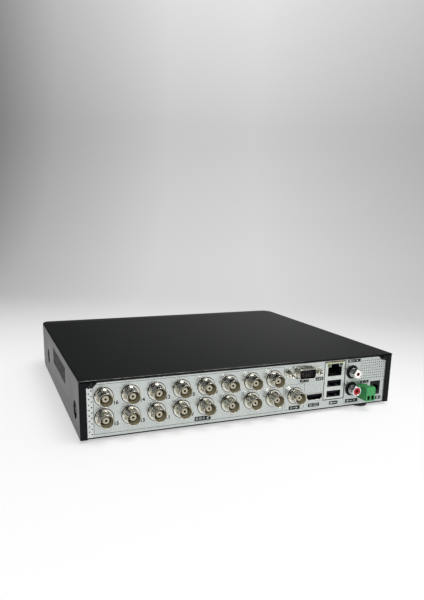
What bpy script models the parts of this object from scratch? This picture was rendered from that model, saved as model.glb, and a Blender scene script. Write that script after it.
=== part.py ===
# Sixteen-channel desktop video recorder, modelled as an assembly.
#
# Frame: metres, +Z up, origin at the middle of the recorder's footprint on the
# surface that it stands on. The connector side faces +Y, the operating side
# (bezel) faces -Y, X runs along the width.
#
# Every separate physical piece is one object. Sheet-metal parts are flat
# outlines given a thickness, turned parts are screwed profiles, and moulded or
# cast parts are primitives joined and cut with Boolean modifiers.

import math

import bmesh
import bpy
from mathutils import Matrix, Vector

# ----------------------------------------------------------------------------
# Driving dimensions, in millimetres
# ----------------------------------------------------------------------------
MM = 0.001
WIDTH = 255.0            # across the cover
HEIGHT = 41.6            # cover, without the feet
FOOT_H = 2.6             # underside of the tray above the ground
COVER_DEPTH = 207.0      # bezel joint to rear flange
BEZEL_DEPTH = 13.5
REAR_Y = 105.0           # outer face of the cover's rear flanges
SHEET = 0.8              # steel thickness
GAP = 0.3                # clearance between neighbouring pieces

BASE_Z = FOOT_H
TOP_Z = FOOT_H + HEIGHT
FRONT_Y = REAR_Y - COVER_DEPTH          # joint between cover and bezel
FACE_Y = FRONT_Y - BEZEL_DEPTH          # front of the bezel
HALF_W = WIDTH / 2

PANEL_Y = REAR_Y - SHEET - GAP          # outer face of the rear panel
PANEL_IN = PANEL_Y - SHEET
PANEL_BOTTOM = BASE_Z + 0.5      # the panel hangs in front of the tray's floor
PANEL_TOP = 42.1
PANEL_HALF = 126.2

# rear connectors: (x, z) centres on the panel
BNC_X0 = 110.98          # first column
BNC_PITCH = 18.517
BNC_COLUMNS = 8
BNC_Z_HIGH = 32.0
BNC_Z_LOW = 16.9
BNC_HOLE_R = 6.75        # hole in the panel
BNC_COLLAR_R = 6.25
BNC_SHELL_R = 4.85
BNC_BORE_R = 4.1
BNC_INSULATOR_R = 2.4
BNC_REACH = 9.3          # shell rim in front of the panel
OUT_X, OUT_Z = -37.6, 16.7
VGA_X, VGA_Z = -44.6, 34.75
HDMI_X, HDMI_Z = -55.2, 13.9
LAN_X = -72.8            # combined network and USB block
LAN_W, LAN_Z0, LAN_Z1 = 18.4, 10.6, 41.2
RCA_X = -89.8
RCA_Z_HIGH, RCA_Z_LOW = 31.1, 17.1
PLUG_X = -100.8          # two-way plug-in terminal
PLUG_W = 8.6
DC_X, DC_Z = -113.3, 15.6

BOARD_Z = 8.3            # underside of the main board
BOARD_T = 1.6
SEAT_Z = BOARD_Z + BOARD_T + GAP        # connectors stand on this level

VENT_Y0, VENT_Y1 = -28.8, 42.2          # side vents
VENT_Z0, VENT_Z1 = 23.5, 37.5
DIMPLE_REAR = (86.0, 18.7)              # dished cover-screw seats, (y, z)
DIMPLE_FRONT = (-65.3, 20.7)
EAR_X, EAR_Z = 119.6, 40.8              # cover screws in the rear corners

DISC_X, DISC_Y = -7.5, -47.2            # hard disc spindle
ARM_X, ARM_Y = 52.5, -62.0              # hard disc arm pivot

# ----------------------------------------------------------------------------
# Scene and helpers
# ----------------------------------------------------------------------------
for old in list(bpy.data.objects):
    bpy.data.objects.remove(old, do_unlink=True)

scene = bpy.context.scene
parts = bpy.data.collections.new("dvr_recorder")
cutters = bpy.data.collections.new("cutters")
scene.collection.children.link(parts)
scene.collection.children.link(cutters)


def material(name, rgb, rough, metal=0.0):
    mat = bpy.data.materials.new(name)
    mat.use_nodes = True
    shader = mat.node_tree.nodes["Principled BSDF"]
    shader.inputs["Base Color"].default_value = (*rgb, 1.0)
    shader.inputs["Roughness"].default_value = rough
    shader.inputs["Metallic"].default_value = metal
    mat.diffuse_color = (*rgb, 1.0)
    return mat


def put(name, mesh, coll=parts):
    obj = bpy.data.objects.new(name, mesh)
    coll.objects.link(obj)
    return obj


def from_bmesh(name, bm, coll=parts):
    mesh = bpy.data.meshes.new(name)
    bm.to_mesh(mesh)
    bm.free()
    return put(name, mesh, coll)


def block(name, x0, x1, y0, y1, z0, z1, coll=parts):
    """Box between two corners, in millimetres."""
    bm = bmesh.new()
    size = Vector((x1 - x0, y1 - y0, z1 - z0)) * MM
    mid = Vector((x0 + x1, y0 + y1, z0 + z1)) * (MM / 2)
    bmesh.ops.create_cube(bm, size=1.0, matrix=Matrix.Translation(mid) @ Matrix.Diagonal((*size, 1.0)))
    return from_bmesh(name, bm, coll)


AXES = {"X": Vector((1, 0, 0)), "Y": Vector((0, 1, 0)), "Z": Vector((0, 0, 1))}


def rod(name, axis, at, a, b, r0, r1=None, seg=16, coll=parts, turn=0.0):
    """Cylinder or cone along an axis, from station a to station b; 'at' gives the
    two other coordinates in X, Y, Z order."""
    r1 = r0 if r1 is None else r1
    direction = AXES[axis]
    first = {"X": lambda s: (s, at[0], at[1]), "Y": lambda s: (at[0], s, at[1]), "Z": lambda s: (at[0], at[1], s)}[axis]
    mid = (Vector(first(a)) + Vector(first(b))) * (MM / 2)
    rot = direction.to_track_quat("Z", "Y").to_matrix().to_4x4() @ Matrix.Rotation(turn, 4, "Z")
    bm = bmesh.new()
    bmesh.ops.create_cone(bm, cap_ends=True, cap_tris=False, segments=seg, radius1=r0 * MM, radius2=r1 * MM,
                          depth=(b - a) * MM, matrix=Matrix.Translation(mid) @ rot)
    return from_bmesh(name, bm, coll)


def sheet(name, loops, thickness, normal, station, coll=parts):
    """Flat outline (first loop) with holes (other loops), given a thickness along
    an axis. 'station' is the middle of the thickness. Loops hold (u, v) points:
    (x, z) for Y, (y, z) for X, (x, y) for Z."""
    curve = bpy.data.curves.new(name, "CURVE")
    curve.dimensions = "2D"
    curve.fill_mode = "BOTH"
    curve.extrude = thickness * MM / 2
    for loop in loops:
        spline = curve.splines.new("POLY")
        spline.points.add(len(loop) - 1)
        for point, (u, v) in zip(spline.points, loop):
            point.co = (u * MM, v * MM, 0.0, 1.0)
        spline.use_cyclic_u = True
    tmp = put(name + "_outline", curve, coll)
    if normal == "Z":
        tmp.matrix_world = Matrix.Translation((0, 0, station * MM))
    elif normal == "Y":      # local x -> X, local y -> Z, local z -> -Y
        tmp.matrix_world = Matrix.Translation((0, station * MM, 0)) @ Matrix.Rotation(math.pi / 2, 4, "X")
    else:                    # local x -> Y, local y -> Z, local z -> X
        tmp.matrix_world = Matrix.Translation((station * MM, 0, 0)) @ Matrix(((0, 0, 1, 0), (1, 0, 0, 0), (0, 1, 0, 0), (0, 0, 0, 1)))
    bpy.context.view_layer.update()
    graph = bpy.context.evaluated_depsgraph_get()
    mesh = bpy.data.meshes.new_from_object(tmp.evaluated_get(graph))
    mesh.transform(tmp.matrix_world)
    bm = bmesh.new()
    bm.from_mesh(mesh)
    bmesh.ops.remove_doubles(bm, verts=bm.verts, dist=1e-6)
    bmesh.ops.recalc_face_normals(bm, faces=bm.faces)
    bm.to_mesh(mesh)
    bm.free()
    bpy.data.objects.remove(tmp, do_unlink=True)
    obj = put(name, mesh, coll)
    return obj


def turned(name, profile, axis, at, seg=24, coll=parts):
    """Solid or tube of revolution. The profile holds (radius, station) points and
    runs down the outer side first. A profile that starts and ends on the axis is
    a solid; a closed loop is a tube."""
    closed = profile[0] == profile[-1]
    points = profile[:-1] if closed else profile
    mesh = bpy.data.meshes.new(name)
    verts = [(r * MM, 0.0, s * MM) for r, s in points]
    edges = [(i, i + 1) for i in range(len(points) - 1)]
    if closed:
        edges.append((len(points) - 1, 0))
    mesh.from_pydata(verts, edges, [])
    obj = put(name, mesh, coll)
    mod = obj.modifiers.new("Screw", "SCREW")
    mod.axis = "Z"
    mod.angle = 2 * math.pi
    mod.steps = seg
    mod.render_steps = seg
    mod.use_merge_vertices = True
    mod.merge_threshold = 1e-6
    mod.use_smooth_shade = False
    if axis == "Y":
        obj.matrix_world = Matrix.Translation((at[0] * MM, 0, at[1] * MM)) @ Matrix.Rotation(-math.pi / 2, 4, "X")
    elif axis == "X":
        obj.matrix_world = Matrix.Translation((0, at[0] * MM, at[1] * MM)) @ Matrix.Rotation(math.pi / 2, 4, "Y")
    else:
        obj.matrix_world = Matrix.Translation((at[0] * MM, at[1] * MM, 0))
    return obj


def carve(obj, tool, operation="DIFFERENCE"):
    """Boolean with a tool object, which moves to the cutters collection."""
    for coll in list(tool.users_collection):
        coll.objects.unlink(tool)
    cutters.objects.link(tool)
    tool.name = "cut_" + tool.name
    tool.hide_render = True
    tool.display_type = "WIRE"
    mod = obj.modifiers.new(operation.title(), "BOOLEAN")
    mod.operation = operation
    mod.solver = "EXACT"
    mod.object = tool
    return obj


def join(obj, tool):
    return carve(obj, tool, "UNION")


def settle(obj):
    """Applies an object's modifiers, so that copies can share the mesh."""
    bpy.context.view_layer.update()
    graph = bpy.context.evaluated_depsgraph_get()
    mesh = bpy.data.meshes.new_from_object(obj.evaluated_get(graph))
    mesh.transform(obj.matrix_world)
    tools = [m.object for m in obj.modifiers if m.type == "BOOLEAN"]
    obj.modifiers.clear()
    obj.data = mesh
    obj.matrix_world = Matrix.Identity(4)
    for tool in tools:
        bpy.data.objects.remove(tool, do_unlink=True)
    return obj


def copy(obj, name, dx=0.0, dy=0.0, dz=0.0, mirror_x=False):
    """Another piece of the same shape, which shares the mesh unless mirrored."""
    mesh = obj.data
    if mirror_x:
        mesh = mesh.copy()
        mesh.transform(Matrix.Diagonal((-1, 1, 1, 1)))
        mesh.flip_normals()
    twin = put(name, mesh)
    twin.location = obj.location + Vector((dx, dy, dz)) * MM
    return twin


def pivot(obj, x, y, z):
    """Moves an object's origin to a joint's axis without moving its shape."""
    point = Vector((x, y, z)) * MM
    obj.data.transform(Matrix.Translation(-point))
    obj.location = point
    return obj


def finish(obj, mat, angle=35.0):
    obj.data.materials.clear()
    obj.data.materials.append(mat)
    obj.data.shade_smooth()
    obj.data.set_sharp_from_angle(angle=math.radians(angle))
    return obj


def rect(u0, u1, v0, v1):
    return [(u0, v0), (u1, v0), (u1, v1), (u0, v1)]


def ring(u, v, r, seg=16, turn=0.0):
    return [(u + r * math.cos(turn + 2 * math.pi * i / seg), v + r * math.sin(turn + 2 * math.pi * i / seg))
            for i in range(seg)]


def rounded(points, radii, steps=3):
    """Outline with each corner turned into an arc that touches both sides."""
    out = []
    n = len(points)
    for i, (p, r) in enumerate(zip(points, radii)):
        if r <= 0:
            out.append(p)
            continue
        here = Vector(p)
        before = (Vector(points[i - 1]) - here).normalized()
        after = (Vector(points[(i + 1) % n]) - here).normalized()
        half = before.angle(after) / 2
        reach = r / math.tan(half)
        centre = here + (before + after).normalized() * (r / math.sin(half))
        start = here + before * reach - centre
        end = here + after * reach - centre
        for k in range(steps + 1):
            t = k / steps
            arm = (start * math.sin((1 - t) * (math.pi - 2 * half)) + end * math.sin(t * (math.pi - 2 * half)))
            arm = arm / math.sin(math.pi - 2 * half)
            out.append((centre.x + arm.x, centre.y + arm.y))
    return out


# ----------------------------------------------------------------------------
# Materials
# ----------------------------------------------------------------------------
black_steel = material("black_powder_coat", (0.022, 0.023, 0.024), 0.55)
silver_steel = material("silver_panel", (0.62, 0.65, 0.64), 0.38, 0.85)
black_plastic = material("black_plastic", (0.018, 0.018, 0.020), 0.45)
smoked = material("smoked_window", (0.03, 0.012, 0.012), 0.08)
nickel = material("nickel", (0.66, 0.64, 0.58), 0.22, 1.0)
chrome = material("chrome", (0.78, 0.78, 0.77), 0.12, 1.0)
cream = material("cream_insulator", (0.72, 0.66, 0.53), 0.5)
gold_tin = material("yellowed_nickel", (0.68, 0.64, 0.50), 0.28, 1.0)
navy = material("dark_connector_plastic", (0.014, 0.014, 0.022), 0.42)
white_plastic = material("white_plastic", (0.85, 0.82, 0.78), 0.4)
red_plastic = material("red_plastic", (0.55, 0.015, 0.02), 0.35)
green_plastic = material("green_terminal_plastic", (0.06, 0.42, 0.13), 0.45)
board_green = material("circuit_board", (0.03, 0.16, 0.07), 0.45)
zinc = material("zinc_plated_steel", (0.55, 0.55, 0.53), 0.35, 1.0)
black_screw = material("blackened_steel", (0.03, 0.03, 0.032), 0.35, 0.9)
rubber = material("black_rubber", (0.02, 0.02, 0.02), 0.85)
aluminium = material("aluminium", (0.70, 0.71, 0.72), 0.35, 1.0)
cast = material("cast_aluminium", (0.45, 0.46, 0.47), 0.5, 0.9)
mirror = material("disc_surface", (0.80, 0.80, 0.82), 0.06, 1.0)

# ----------------------------------------------------------------------------
# Top cover: one folded sheet with both sides, rear flanges and corner ears
# ----------------------------------------------------------------------------
BEND_R = 1.3


def cover_section(inset, bottom):
    top = TOP_Z - inset
    half = HALF_W - inset
    r = max(BEND_R - inset, 0.5)
    return rounded([(-half, bottom), (half, bottom), (half, top), (-half, top)], [0, 0, r, r])


cover = sheet("top_cover", [cover_section(0.0, BASE_Z)], COVER_DEPTH, "Y", (FRONT_Y + REAR_Y) / 2)
hollow = sheet("cover_inside", [cover_section(SHEET, BASE_Z - 5)], COVER_DEPTH + 4.2, "Y",
               REAR_Y - SHEET - (COVER_DEPTH + 4.2) / 2)
carve(cover, hollow)
FLANGE_X = 122.6         # inner edge of the side flanges
rear_mouth = sheet("rear_mouth", [[(-FLANGE_X, BASE_Z - 3), (FLANGE_X, BASE_Z - 3), (FLANGE_X, 39.3), (118.0, 39.3),
                                  (115.4, 42.0), (115.4, TOP_Z - SHEET), (-115.4, TOP_Z - SHEET), (-115.4, 42.0),
                                  (-118.0, 39.3), (-FLANGE_X, 39.3)]], 6.0, "Y", REAR_Y)
carve(cover, rear_mouth)

DISH_OUT, DISH_IN, DISH_DEPTH = 6.5, 4.0, 2.1
SIDE_WALL_X = HALF_W - SHEET            # inner face of the cover's sides
for side, sign in (("left", 1), ("right", -1)):
    for end, (y, z) in (("rear", DIMPLE_REAR), ("front", DIMPLE_FRONT)):
        a, b = HALF_W - DISH_DEPTH - SHEET, HALF_W - 0.4
        if sign > 0:
            cup = rod("cup", "X", (y, z), a, b, DISH_IN + 0.7, DISH_OUT + 0.6, 20)
            dish = rod("dish", "X", (y, z), HALF_W - DISH_DEPTH, HALF_W + 0.6, DISH_IN, DISH_OUT + 0.7, 20)
        else:
            cup = rod("cup", "X", (y, z), -b, -a, DISH_OUT + 0.6, DISH_IN + 0.7, 20)
            dish = rod("dish", "X", (y, z), -HALF_W - 0.6, -HALF_W + DISH_DEPTH, DISH_OUT + 0.7, DISH_IN, 20)
        join(cover, cup)
        carve(cover, dish)
        hole = rod("dish_hole", "X", (y, z), sign * 128.0 if sign < 0 else 120.0, -120.0 if sign < 0 else 128.0, 1.9, seg=10)
        carve(cover, hole)

# side vents: a row of upright slots
SLOTS = 20
slot_pitch = (VENT_Y1 - VENT_Y0) / SLOTS
for sign in (1, -1):
    bm = bmesh.new()
    for i in range(SLOTS):
        y = VENT_Y0 + (i + 0.5) * slot_pitch
        size = Vector((6.0, slot_pitch * 0.72, VENT_Z1 - VENT_Z0)) * MM
        mid = Vector((sign * HALF_W, y, (VENT_Z0 + VENT_Z1) / 2)) * MM
        bmesh.ops.create_cube(bm, size=1.0, matrix=Matrix.Translation(mid) @ Matrix.Diagonal((*size, 1.0)))
    carve(cover, from_bmesh("vent_slots", bm))
for sign in (1, -1):
    carve(cover, rod("ear_hole", "Y", (sign * EAR_X, EAR_Z), 102.0, 108.0, 1.2, seg=10))
finish(cover, black_steel)

# ----------------------------------------------------------------------------
# Chassis tray: floor, side flanges, front wall, board and drive bosses
# ----------------------------------------------------------------------------
TRAY_X = 124.3           # outer face of the side flanges
FRONT_WALL_Y = FRONT_Y + GAP
tray = block("chassis_tray", -TRAY_X, TRAY_X, FRONT_WALL_Y, PANEL_IN - GAP, BASE_Z, 27.0)
carve(tray, block("tray_inside", -TRAY_X + SHEET, TRAY_X - SHEET, FRONT_WALL_Y + SHEET, 102.0, BASE_Z + SHEET, 60.0))
carve(tray, block("tray_lip_cut", -TRAY_X + SHEET, TRAY_X - SHEET, 100.0, 112.0, 7.2, 60.0))
join(tray, block("front_wall", -TRAY_X, TRAY_X, FRONT_WALL_Y, FRONT_WALL_Y + SHEET, 20.0, 42.4))
for sign in (1, -1):
    carve(tray, block("vent_notch", sign * TRAY_X - 3, sign * TRAY_X + 3, VENT_Y0 - 4, VENT_Y1 + 4, 20.5, 60.0))
carve(tray, block("cable_window", -30, 30, -110, -95, 16, 30))
for x, y in ((-112, 14), (0, 14), (112, 14), (-70, 60), (70, 60)):
    join(tray, rod("board_boss", "Z", (x, y), BASE_Z + 0.3, BOARD_Z - GAP, 2.8, 2.4, 8))
for x in (-45.0, 75.0):
    for y in (-90.0, -5.0):
        join(tray, rod("drive_boss", "Z", (x, y), BASE_Z + 0.3, 5.2, 4.5, 4.0, 8))
        carve(tray, rod("drive_screw_hole", "Z", (x, y), BASE_Z - 2.0, 8.0, 1.8, seg=8))
for x in (-90.0, 90.0):
    for z in (14.0, 36.0):
        join(tray, rod("front_boss", "Y", (x, z), FRONT_WALL_Y - 1.0, FRONT_WALL_Y + 0.4, 3.0, seg=8))
for sign in (1, -1):
    for y, z in (DIMPLE_REAR, DIMPLE_FRONT):
        lo, hi = sorted((sign * 120.0, sign * 126.0))
        carve(tray, rod("tray_screw_hole", "X", (y, z), lo, hi, 1.9, seg=10))
finish(tray, black_steel)

# ----------------------------------------------------------------------------
# Rear panel: silver plate with all connector cut-outs and two perforated areas
# ----------------------------------------------------------------------------
bnc_x = [BNC_X0 - BNC_PITCH * i for i in range(BNC_COLUMNS)]


def d_outline(cx, cz, wide, high, grow=0.0, steps=3):
    """D-shaped outline, wider at the top, sides sloping by ten degrees."""
    w, h = wide / 2 + grow, high / 2 + grow
    tuck = 2 * h * math.tan(math.radians(10))
    return rounded([(cx - w + tuck, cz - h), (cx + w - tuck, cz - h), (cx + w, cz + h), (cx - w, cz + h)],
                   [2.0 + grow] * 4, steps)


def hdmi_outline(cx, cz, grow=0.0):
    w, h = 7.05 + grow, 2.35 + grow
    return [(cx - w + 1.9, cz - h), (cx + w - 1.9, cz - h), (cx + w, cz - h + 2.1), (cx + w, cz + h),
            (cx - w, cz + h), (cx - w, cz - h + 2.1)]


holes = []
for x in bnc_x:
    for z in (BNC_Z_HIGH, BNC_Z_LOW):
        holes.append(ring(x, z, BNC_HOLE_R, 16))
holes.append(ring(OUT_X, OUT_Z, BNC_HOLE_R, 16))
holes.append(d_outline(VGA_X, VGA_Z, 17.0, 8.4, 0.7))
for dx in (-12.5, 12.5):
    holes.append(ring(VGA_X + dx, VGA_Z, 1.9, 8))
holes.append(hdmi_outline(HDMI_X, HDMI_Z, 0.8))
holes.append(rect(LAN_X - LAN_W / 2 - 0.4, LAN_X + LAN_W / 2 + 0.4, LAN_Z0 - 0.4, LAN_Z1 + 0.4))
for z in (RCA_Z_HIGH, RCA_Z_LOW):
    holes.append(ring(RCA_X, z, 5.7, 16))
holes.append(rect(PLUG_X - 4.95, PLUG_X + 4.95, 9.4, 19.9))
holes.append(rect(DC_X - 5.0, DC_X + 5.0, DC_Z - 5.8, DC_Z + 5.9))
for sign in (1, -1):
    holes.append(ring(sign * EAR_X, EAR_Z, 1.1, 8))
for i in range(9):                        # left strip, two staggered columns
    holes.append(ring(121.0, 7.75 + 3.85 * i, 0.6, 4, math.pi / 4))
    holes.append(ring(119.3, 5.85 + 3.85 * i, 0.6, 4, math.pi / 4))
for i in range(8):                        # vent field above the power inlet
    for k in range(5):
        holes.append(ring(-99.6 - 2.8 * i, 26.8 + 3.0 * k, 0.7, 4, math.pi / 4))
panel = sheet("rear_panel", [rect(-PANEL_HALF, PANEL_HALF, PANEL_BOTTOM, PANEL_TOP)] + holes, SHEET, "Y",
              PANEL_Y - SHEET / 2)
finish(panel, silver_steel)

# ----------------------------------------------------------------------------
# Front bezel, its smoked window and the power button
# ----------------------------------------------------------------------------
WINDOW_X0, WINDOW_X1, WINDOW_Z0, WINDOW_Z1 = -104.0, -40.0, 17.6, 29.6
BUTTON_X, BUTTON_Z = 96.0, 23.6


def bezel_outline(inset, back):
    """Plan of the bezel: straight back edge, elliptical front corners, the +X one tighter."""
    half, face = HALF_W - inset, FACE_Y + inset
    out = [(half, back)]
    ax, ay = 5.0 - inset * 0.4, 9.5 - inset
    for k in range(7):
        t = math.pi / 2 * k / 6
        out.append((half - ax + ax * math.cos(t), face + ay - ay * math.sin(t)))
    ax, ay = 9.5 - inset * 0.4, 12.0 - inset
    for k in range(7):
        t = math.pi / 2 * (1 - k / 6)
        out.append((-half + ax - ax * math.cos(t), face + ay - ay * math.sin(t)))
    out.append((-half, back))
    return out


BEZEL_BACK = FRONT_Y - 0.0 - GAP
bezel = sheet("front_bezel", [bezel_outline(0.0, BEZEL_BACK)], HEIGHT, "Z", (BASE_Z + TOP_Z) / 2)
carve(bezel, sheet("bezel_inside", [bezel_outline(2.0, BEZEL_BACK + 5)], HEIGHT - 4.0, "Z", (BASE_Z + TOP_Z) / 2))
carve(bezel, block("window_slot", WINDOW_X0, WINDOW_X1, FACE_Y - 2, FACE_Y + 4, WINDOW_Z0, WINDOW_Z1))
carve(bezel, rod("button_dish", "Y", (BUTTON_X, BUTTON_Z), FACE_Y - 0.4, FACE_Y + 0.8, 8.6, 7.0, 24))
carve(bezel, rod("button_hole", "Y", (BUTTON_X, BUTTON_Z), FACE_Y - 3, FACE_Y + 4, 5.8, seg=24))
finish(bezel, black_plastic)

window = block("front_window", WINDOW_X0 + GAP, WINDOW_X1 - GAP, FACE_Y + 0.3, FACE_Y + 3.0, WINDOW_Z0 + GAP, WINDOW_Z1 - GAP)
join(window, block("window_rim", WINDOW_X0 - 1.5, WINDOW_X1 + 1.5, FACE_Y + 2.0 + GAP, FACE_Y + 3.3, WINDOW_Z0 - 1.5, WINDOW_Z1 + 1.5))
finish(window, smoked)

button = turned("power_button", [(0, 9.0), (1.6, 9.0), (1.6, 3.4), (6.9, 3.4), (6.9, 2.4), (5.4, 2.4), (5.4, 0.4), (5.0, 0.1), (0, 0.1)],
                "Y", (BUTTON_X, BUTTON_Z), 20)
settle(button)
button.data.transform(Matrix.Translation((0, FACE_Y * MM, 0)))
pivot(button, BUTTON_X, FACE_Y + 0.1, BUTTON_Z)
finish(button, black_plastic)

front_board = block("front_board", -106, 106, FRONT_WALL_Y - 1.0 - GAP - 1.6, FRONT_WALL_Y - 1.0 - GAP, 10.5, 38.5)
BOARD_FRONT_Y = FRONT_WALL_Y - 1.0 - GAP - 1.6
join(front_board, block("tact_switch", BUTTON_X - 3, BUTTON_X + 3, BOARD_FRONT_Y - 0.7, BOARD_FRONT_Y + 0.5, BUTTON_Z - 3, BUTTON_Z + 3))
for i in range(3):
    x = -96.0 + 9.0 * i
    join(front_board, rod("led", "Y", (x, 23.6), BOARD_FRONT_Y - 4.5, BOARD_FRONT_Y + 0.5, 1.5, seg=10))
join(front_board, block("infrared_receiver", -53.0, -47.0, BOARD_FRONT_Y - 4.5, BOARD_FRONT_Y + 0.5, 20.4, 26.8))
finish(front_board, board_green)

# ----------------------------------------------------------------------------
# Main board with its soldered components, and the heat sink
# ----------------------------------------------------------------------------
board_top = BOARD_Z + BOARD_T
main_board = block("main_board", -119.0, 119.0, 6.0, 101.4, BOARD_Z, board_top)
for name, x0, x1, y0, y1, h in (("soc", -22, -2, 36, 56, 1.6), ("memory_a", 6, 16, 38, 48, 1.2), ("memory_b", 6, 16, 52, 62, 1.2),
                                ("video_chip_a", 50, 62, 50, 62, 1.4), ("video_chip_b", 82, 94, 50, 62, 1.4),
                                ("drive_connector", 20, 38, 9, 16, 8.0), ("power_coil", -108, -96, 50, 62, 7.0),
                                ("network_transformer", -80, -64, 52, 62, 6.0)):
    join(main_board, block(name, x0, x1, y0, y1, board_top - 0.4, board_top + h))
for x, y in ((-110, 72), (-98, 72), (-88, 28)):
    join(main_board, rod("capacitor", "Z", (x, y), board_top - 0.4, board_top + 11.0, 4.0, seg=10))
join(main_board, rod("coin_cell", "Z", (-50, 28), board_top - 0.4, board_top + 4.5, 10.5, seg=16))
finish(main_board, board_green)

fins = []
SINK_X0, SINK_X1, SINK_Z = -30.0, 6.0, board_top + 1.6 + GAP
count = 8
pitch = (SINK_X1 - SINK_X0 - 1.4) / (count - 1)
comb = [(SINK_X0, SINK_Z)]
comb.append((SINK_X1, SINK_Z))
for i in reversed(range(count)):
    x = SINK_X0 + i * pitch
    comb.append((x + 1.4, SINK_Z + 12.0))
    comb.append((x, SINK_Z + 12.0))
    if i > 0:
        comb.append((x, SINK_Z + 3.0))
        comb.append((x - pitch + 1.4, SINK_Z + 3.0))
sink = sheet("heat_sink", [comb], 34.0, "Y", 46.0)
finish(sink, aluminium)

# ----------------------------------------------------------------------------
# Video inputs: twin die-cast connectors and their insulators
# ----------------------------------------------------------------------------
RIM_Y = PANEL_Y + BNC_REACH


def bnc_solid(body, x, z):
    """Collar, barrel, bayonet lugs and bore of one connector, added to a casting."""
    join(body, rod("collar", "Y", (x, z), 99.0, PANEL_Y + 0.4, BNC_COLLAR_R, seg=16))
    join(body, rod("barrel", "Y", (x, z), 100.0, RIM_Y, BNC_SHELL_R, seg=16))
    join(body, rod("lugs", "X", (RIM_Y - 3.4, z), x - 5.8, x + 5.8, 1.0, seg=4))
    carve(body, rod("bore", "Y", (x, z), PANEL_Y + 0.6, RIM_Y + 3, BNC_BORE_R, seg=16))
    carve(body, rod("contact_way", "Y", (x, z), 92.0, RIM_Y, BNC_INSULATOR_R + 0.45, seg=8))


def insulator_solid(body, x, z):
    """Insulator nose with the blind hole of its contact."""
    join(body, rod("nose", "Y", (x, z), 96.0, PANEL_Y + 6.5, BNC_INSULATOR_R, seg=10))
    carve(body, rod("contact", "Y", (x, z), PANEL_Y + 1.0, PANEL_Y + 9.0, 0.85, seg=6))


x = bnc_x[0]
casting = block("bnc_pair_1", x - 6.9, x + 6.9, 86.0, PANEL_IN - GAP, SEAT_Z, 39.4)
carve(casting, block("rear_pocket", x - 5.4, x + 5.4, 80.0, 98.4, SEAT_Z + 1.4, 38.0))
for z in (BNC_Z_HIGH, BNC_Z_LOW):
    bnc_solid(casting, x, z)
settle(casting)
finish(casting, nickel)
liner = block("bnc_insulator_1", x - 4.6, x + 4.6, 87.0, 98.0, SEAT_Z + 2.0, 36.8)
for z in (BNC_Z_HIGH, BNC_Z_LOW):
    insulator_solid(liner, x, z)
settle(liner)
finish(liner, cream)
for i in range(1, BNC_COLUMNS):
    copy(casting, "bnc_pair_%d" % (i + 1), dx=bnc_x[i] - x)
    copy(liner, "bnc_insulator_%d" % (i + 1), dx=bnc_x[i] - x)

spot = block("video_out_bnc", OUT_X - 6.9, OUT_X + 6.9, 88.0, PANEL_IN - GAP, SEAT_Z, 23.8)
carve(spot, block("rear_pocket", OUT_X - 5.4, OUT_X + 5.4, 80.0, 98.4, SEAT_Z + 1.4, 22.4))
bnc_solid(spot, OUT_X, OUT_Z)
finish(spot, nickel)
spot_liner = block("video_out_insulator", OUT_X - 4.6, OUT_X + 4.6, 89.0, 98.0, SEAT_Z + 2.0, 21.6)
insulator_solid(spot_liner, OUT_X, OUT_Z)
finish(spot_liner, cream)

# ----------------------------------------------------------------------------
# Monitor connector: shell with flange, insert on its leg, two jack screws
# ----------------------------------------------------------------------------
VGA_RIM = PANEL_Y + 6.0
flange_y = PANEL_IN - GAP
vga = sheet("vga_shell", [rect(VGA_X - 15.4, VGA_X + 15.4, VGA_Z - 6.2, VGA_Z + 6.2)], 1.0, "Y", flange_y - 0.5)
join(vga, sheet("vga_hood", [d_outline(VGA_X, VGA_Z, 16.3, 8.0)], VGA_RIM - flange_y + 1.0, "Y", (VGA_RIM + flange_y - 1.0) / 2))
carve(vga, sheet("vga_mouth", [d_outline(VGA_X, VGA_Z, 14.9, 6.8)], 30.0, "Y", PANEL_Y))
for dx in (-12.5, 12.5):
    carve(vga, rod("vga_flange_hole", "Y", (VGA_X + dx, VGA_Z), 95.0, 108.0, 1.8, seg=8))
finish(vga, gold_tin)

insert = sheet("vga_insert", [d_outline(VGA_X, VGA_Z, 14.3, 6.2)], 10.2, "Y", VGA_RIM - 0.8 - 5.1)
join(insert, block("vga_body", VGA_X - 9.5, VGA_X + 9.5, 86.0, flange_y - 1.0 - GAP, VGA_Z - 5.8, VGA_Z + 5.8))
join(insert, block("vga_leg", VGA_X - 8.5, VGA_X + 8.5, 80.0, 86.6, SEAT_Z, VGA_Z + 5.8))
bm = bmesh.new()
for row, shift in ((1, 0.0), (0, 1.15), (-1, 0.0)):
    for k in range(5):
        px = VGA_X + (k - 2) * 2.3 + shift * 0.5
        pz = VGA_Z + row * 1.95
        rot = Vector((0, 1, 0)).to_track_quat("Z", "Y").to_matrix().to_4x4()
        bmesh.ops.create_cone(bm, cap_ends=True, cap_tris=False, segments=4, radius1=0.55 * MM, radius2=0.55 * MM, depth=6 * MM,
                              matrix=Matrix.Translation(Vector((px, VGA_RIM - 0.8, pz)) * MM) @ rot)
carve(insert, from_bmesh("vga_contacts", bm))
finish(insert, navy)

for n, dx in ((1, 12.5), (2, -12.5)):
    screw = rod("vga_jack_screw_%d" % n, "Y", (VGA_X + dx, VGA_Z), PANEL_Y + GAP, PANEL_Y + 5.2, 2.85, seg=6)
    join(screw, rod("jack_stud", "Y", (VGA_X + dx, VGA_Z), 97.5, PANEL_Y + 1.0, 1.4, seg=8))
    carve(screw, rod("jack_thread", "Y", (VGA_X + dx, VGA_Z), PANEL_Y + 1.6, PANEL_Y + 8.0, 1.45, seg=8))
    finish(screw, gold_tin, 25)

# ----------------------------------------------------------------------------
# Network and USB block: metal shield and black insert with its tongues
# ----------------------------------------------------------------------------
x0, x1 = LAN_X - LAN_W / 2, LAN_X + LAN_W / 2
shield_face = PANEL_Y + 0.35
RJ_Z0, RJ_Z1 = 29.8, 36.7
USB_SLOTS = ((20.8, 26.1), (12.2, 17.5))


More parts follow.
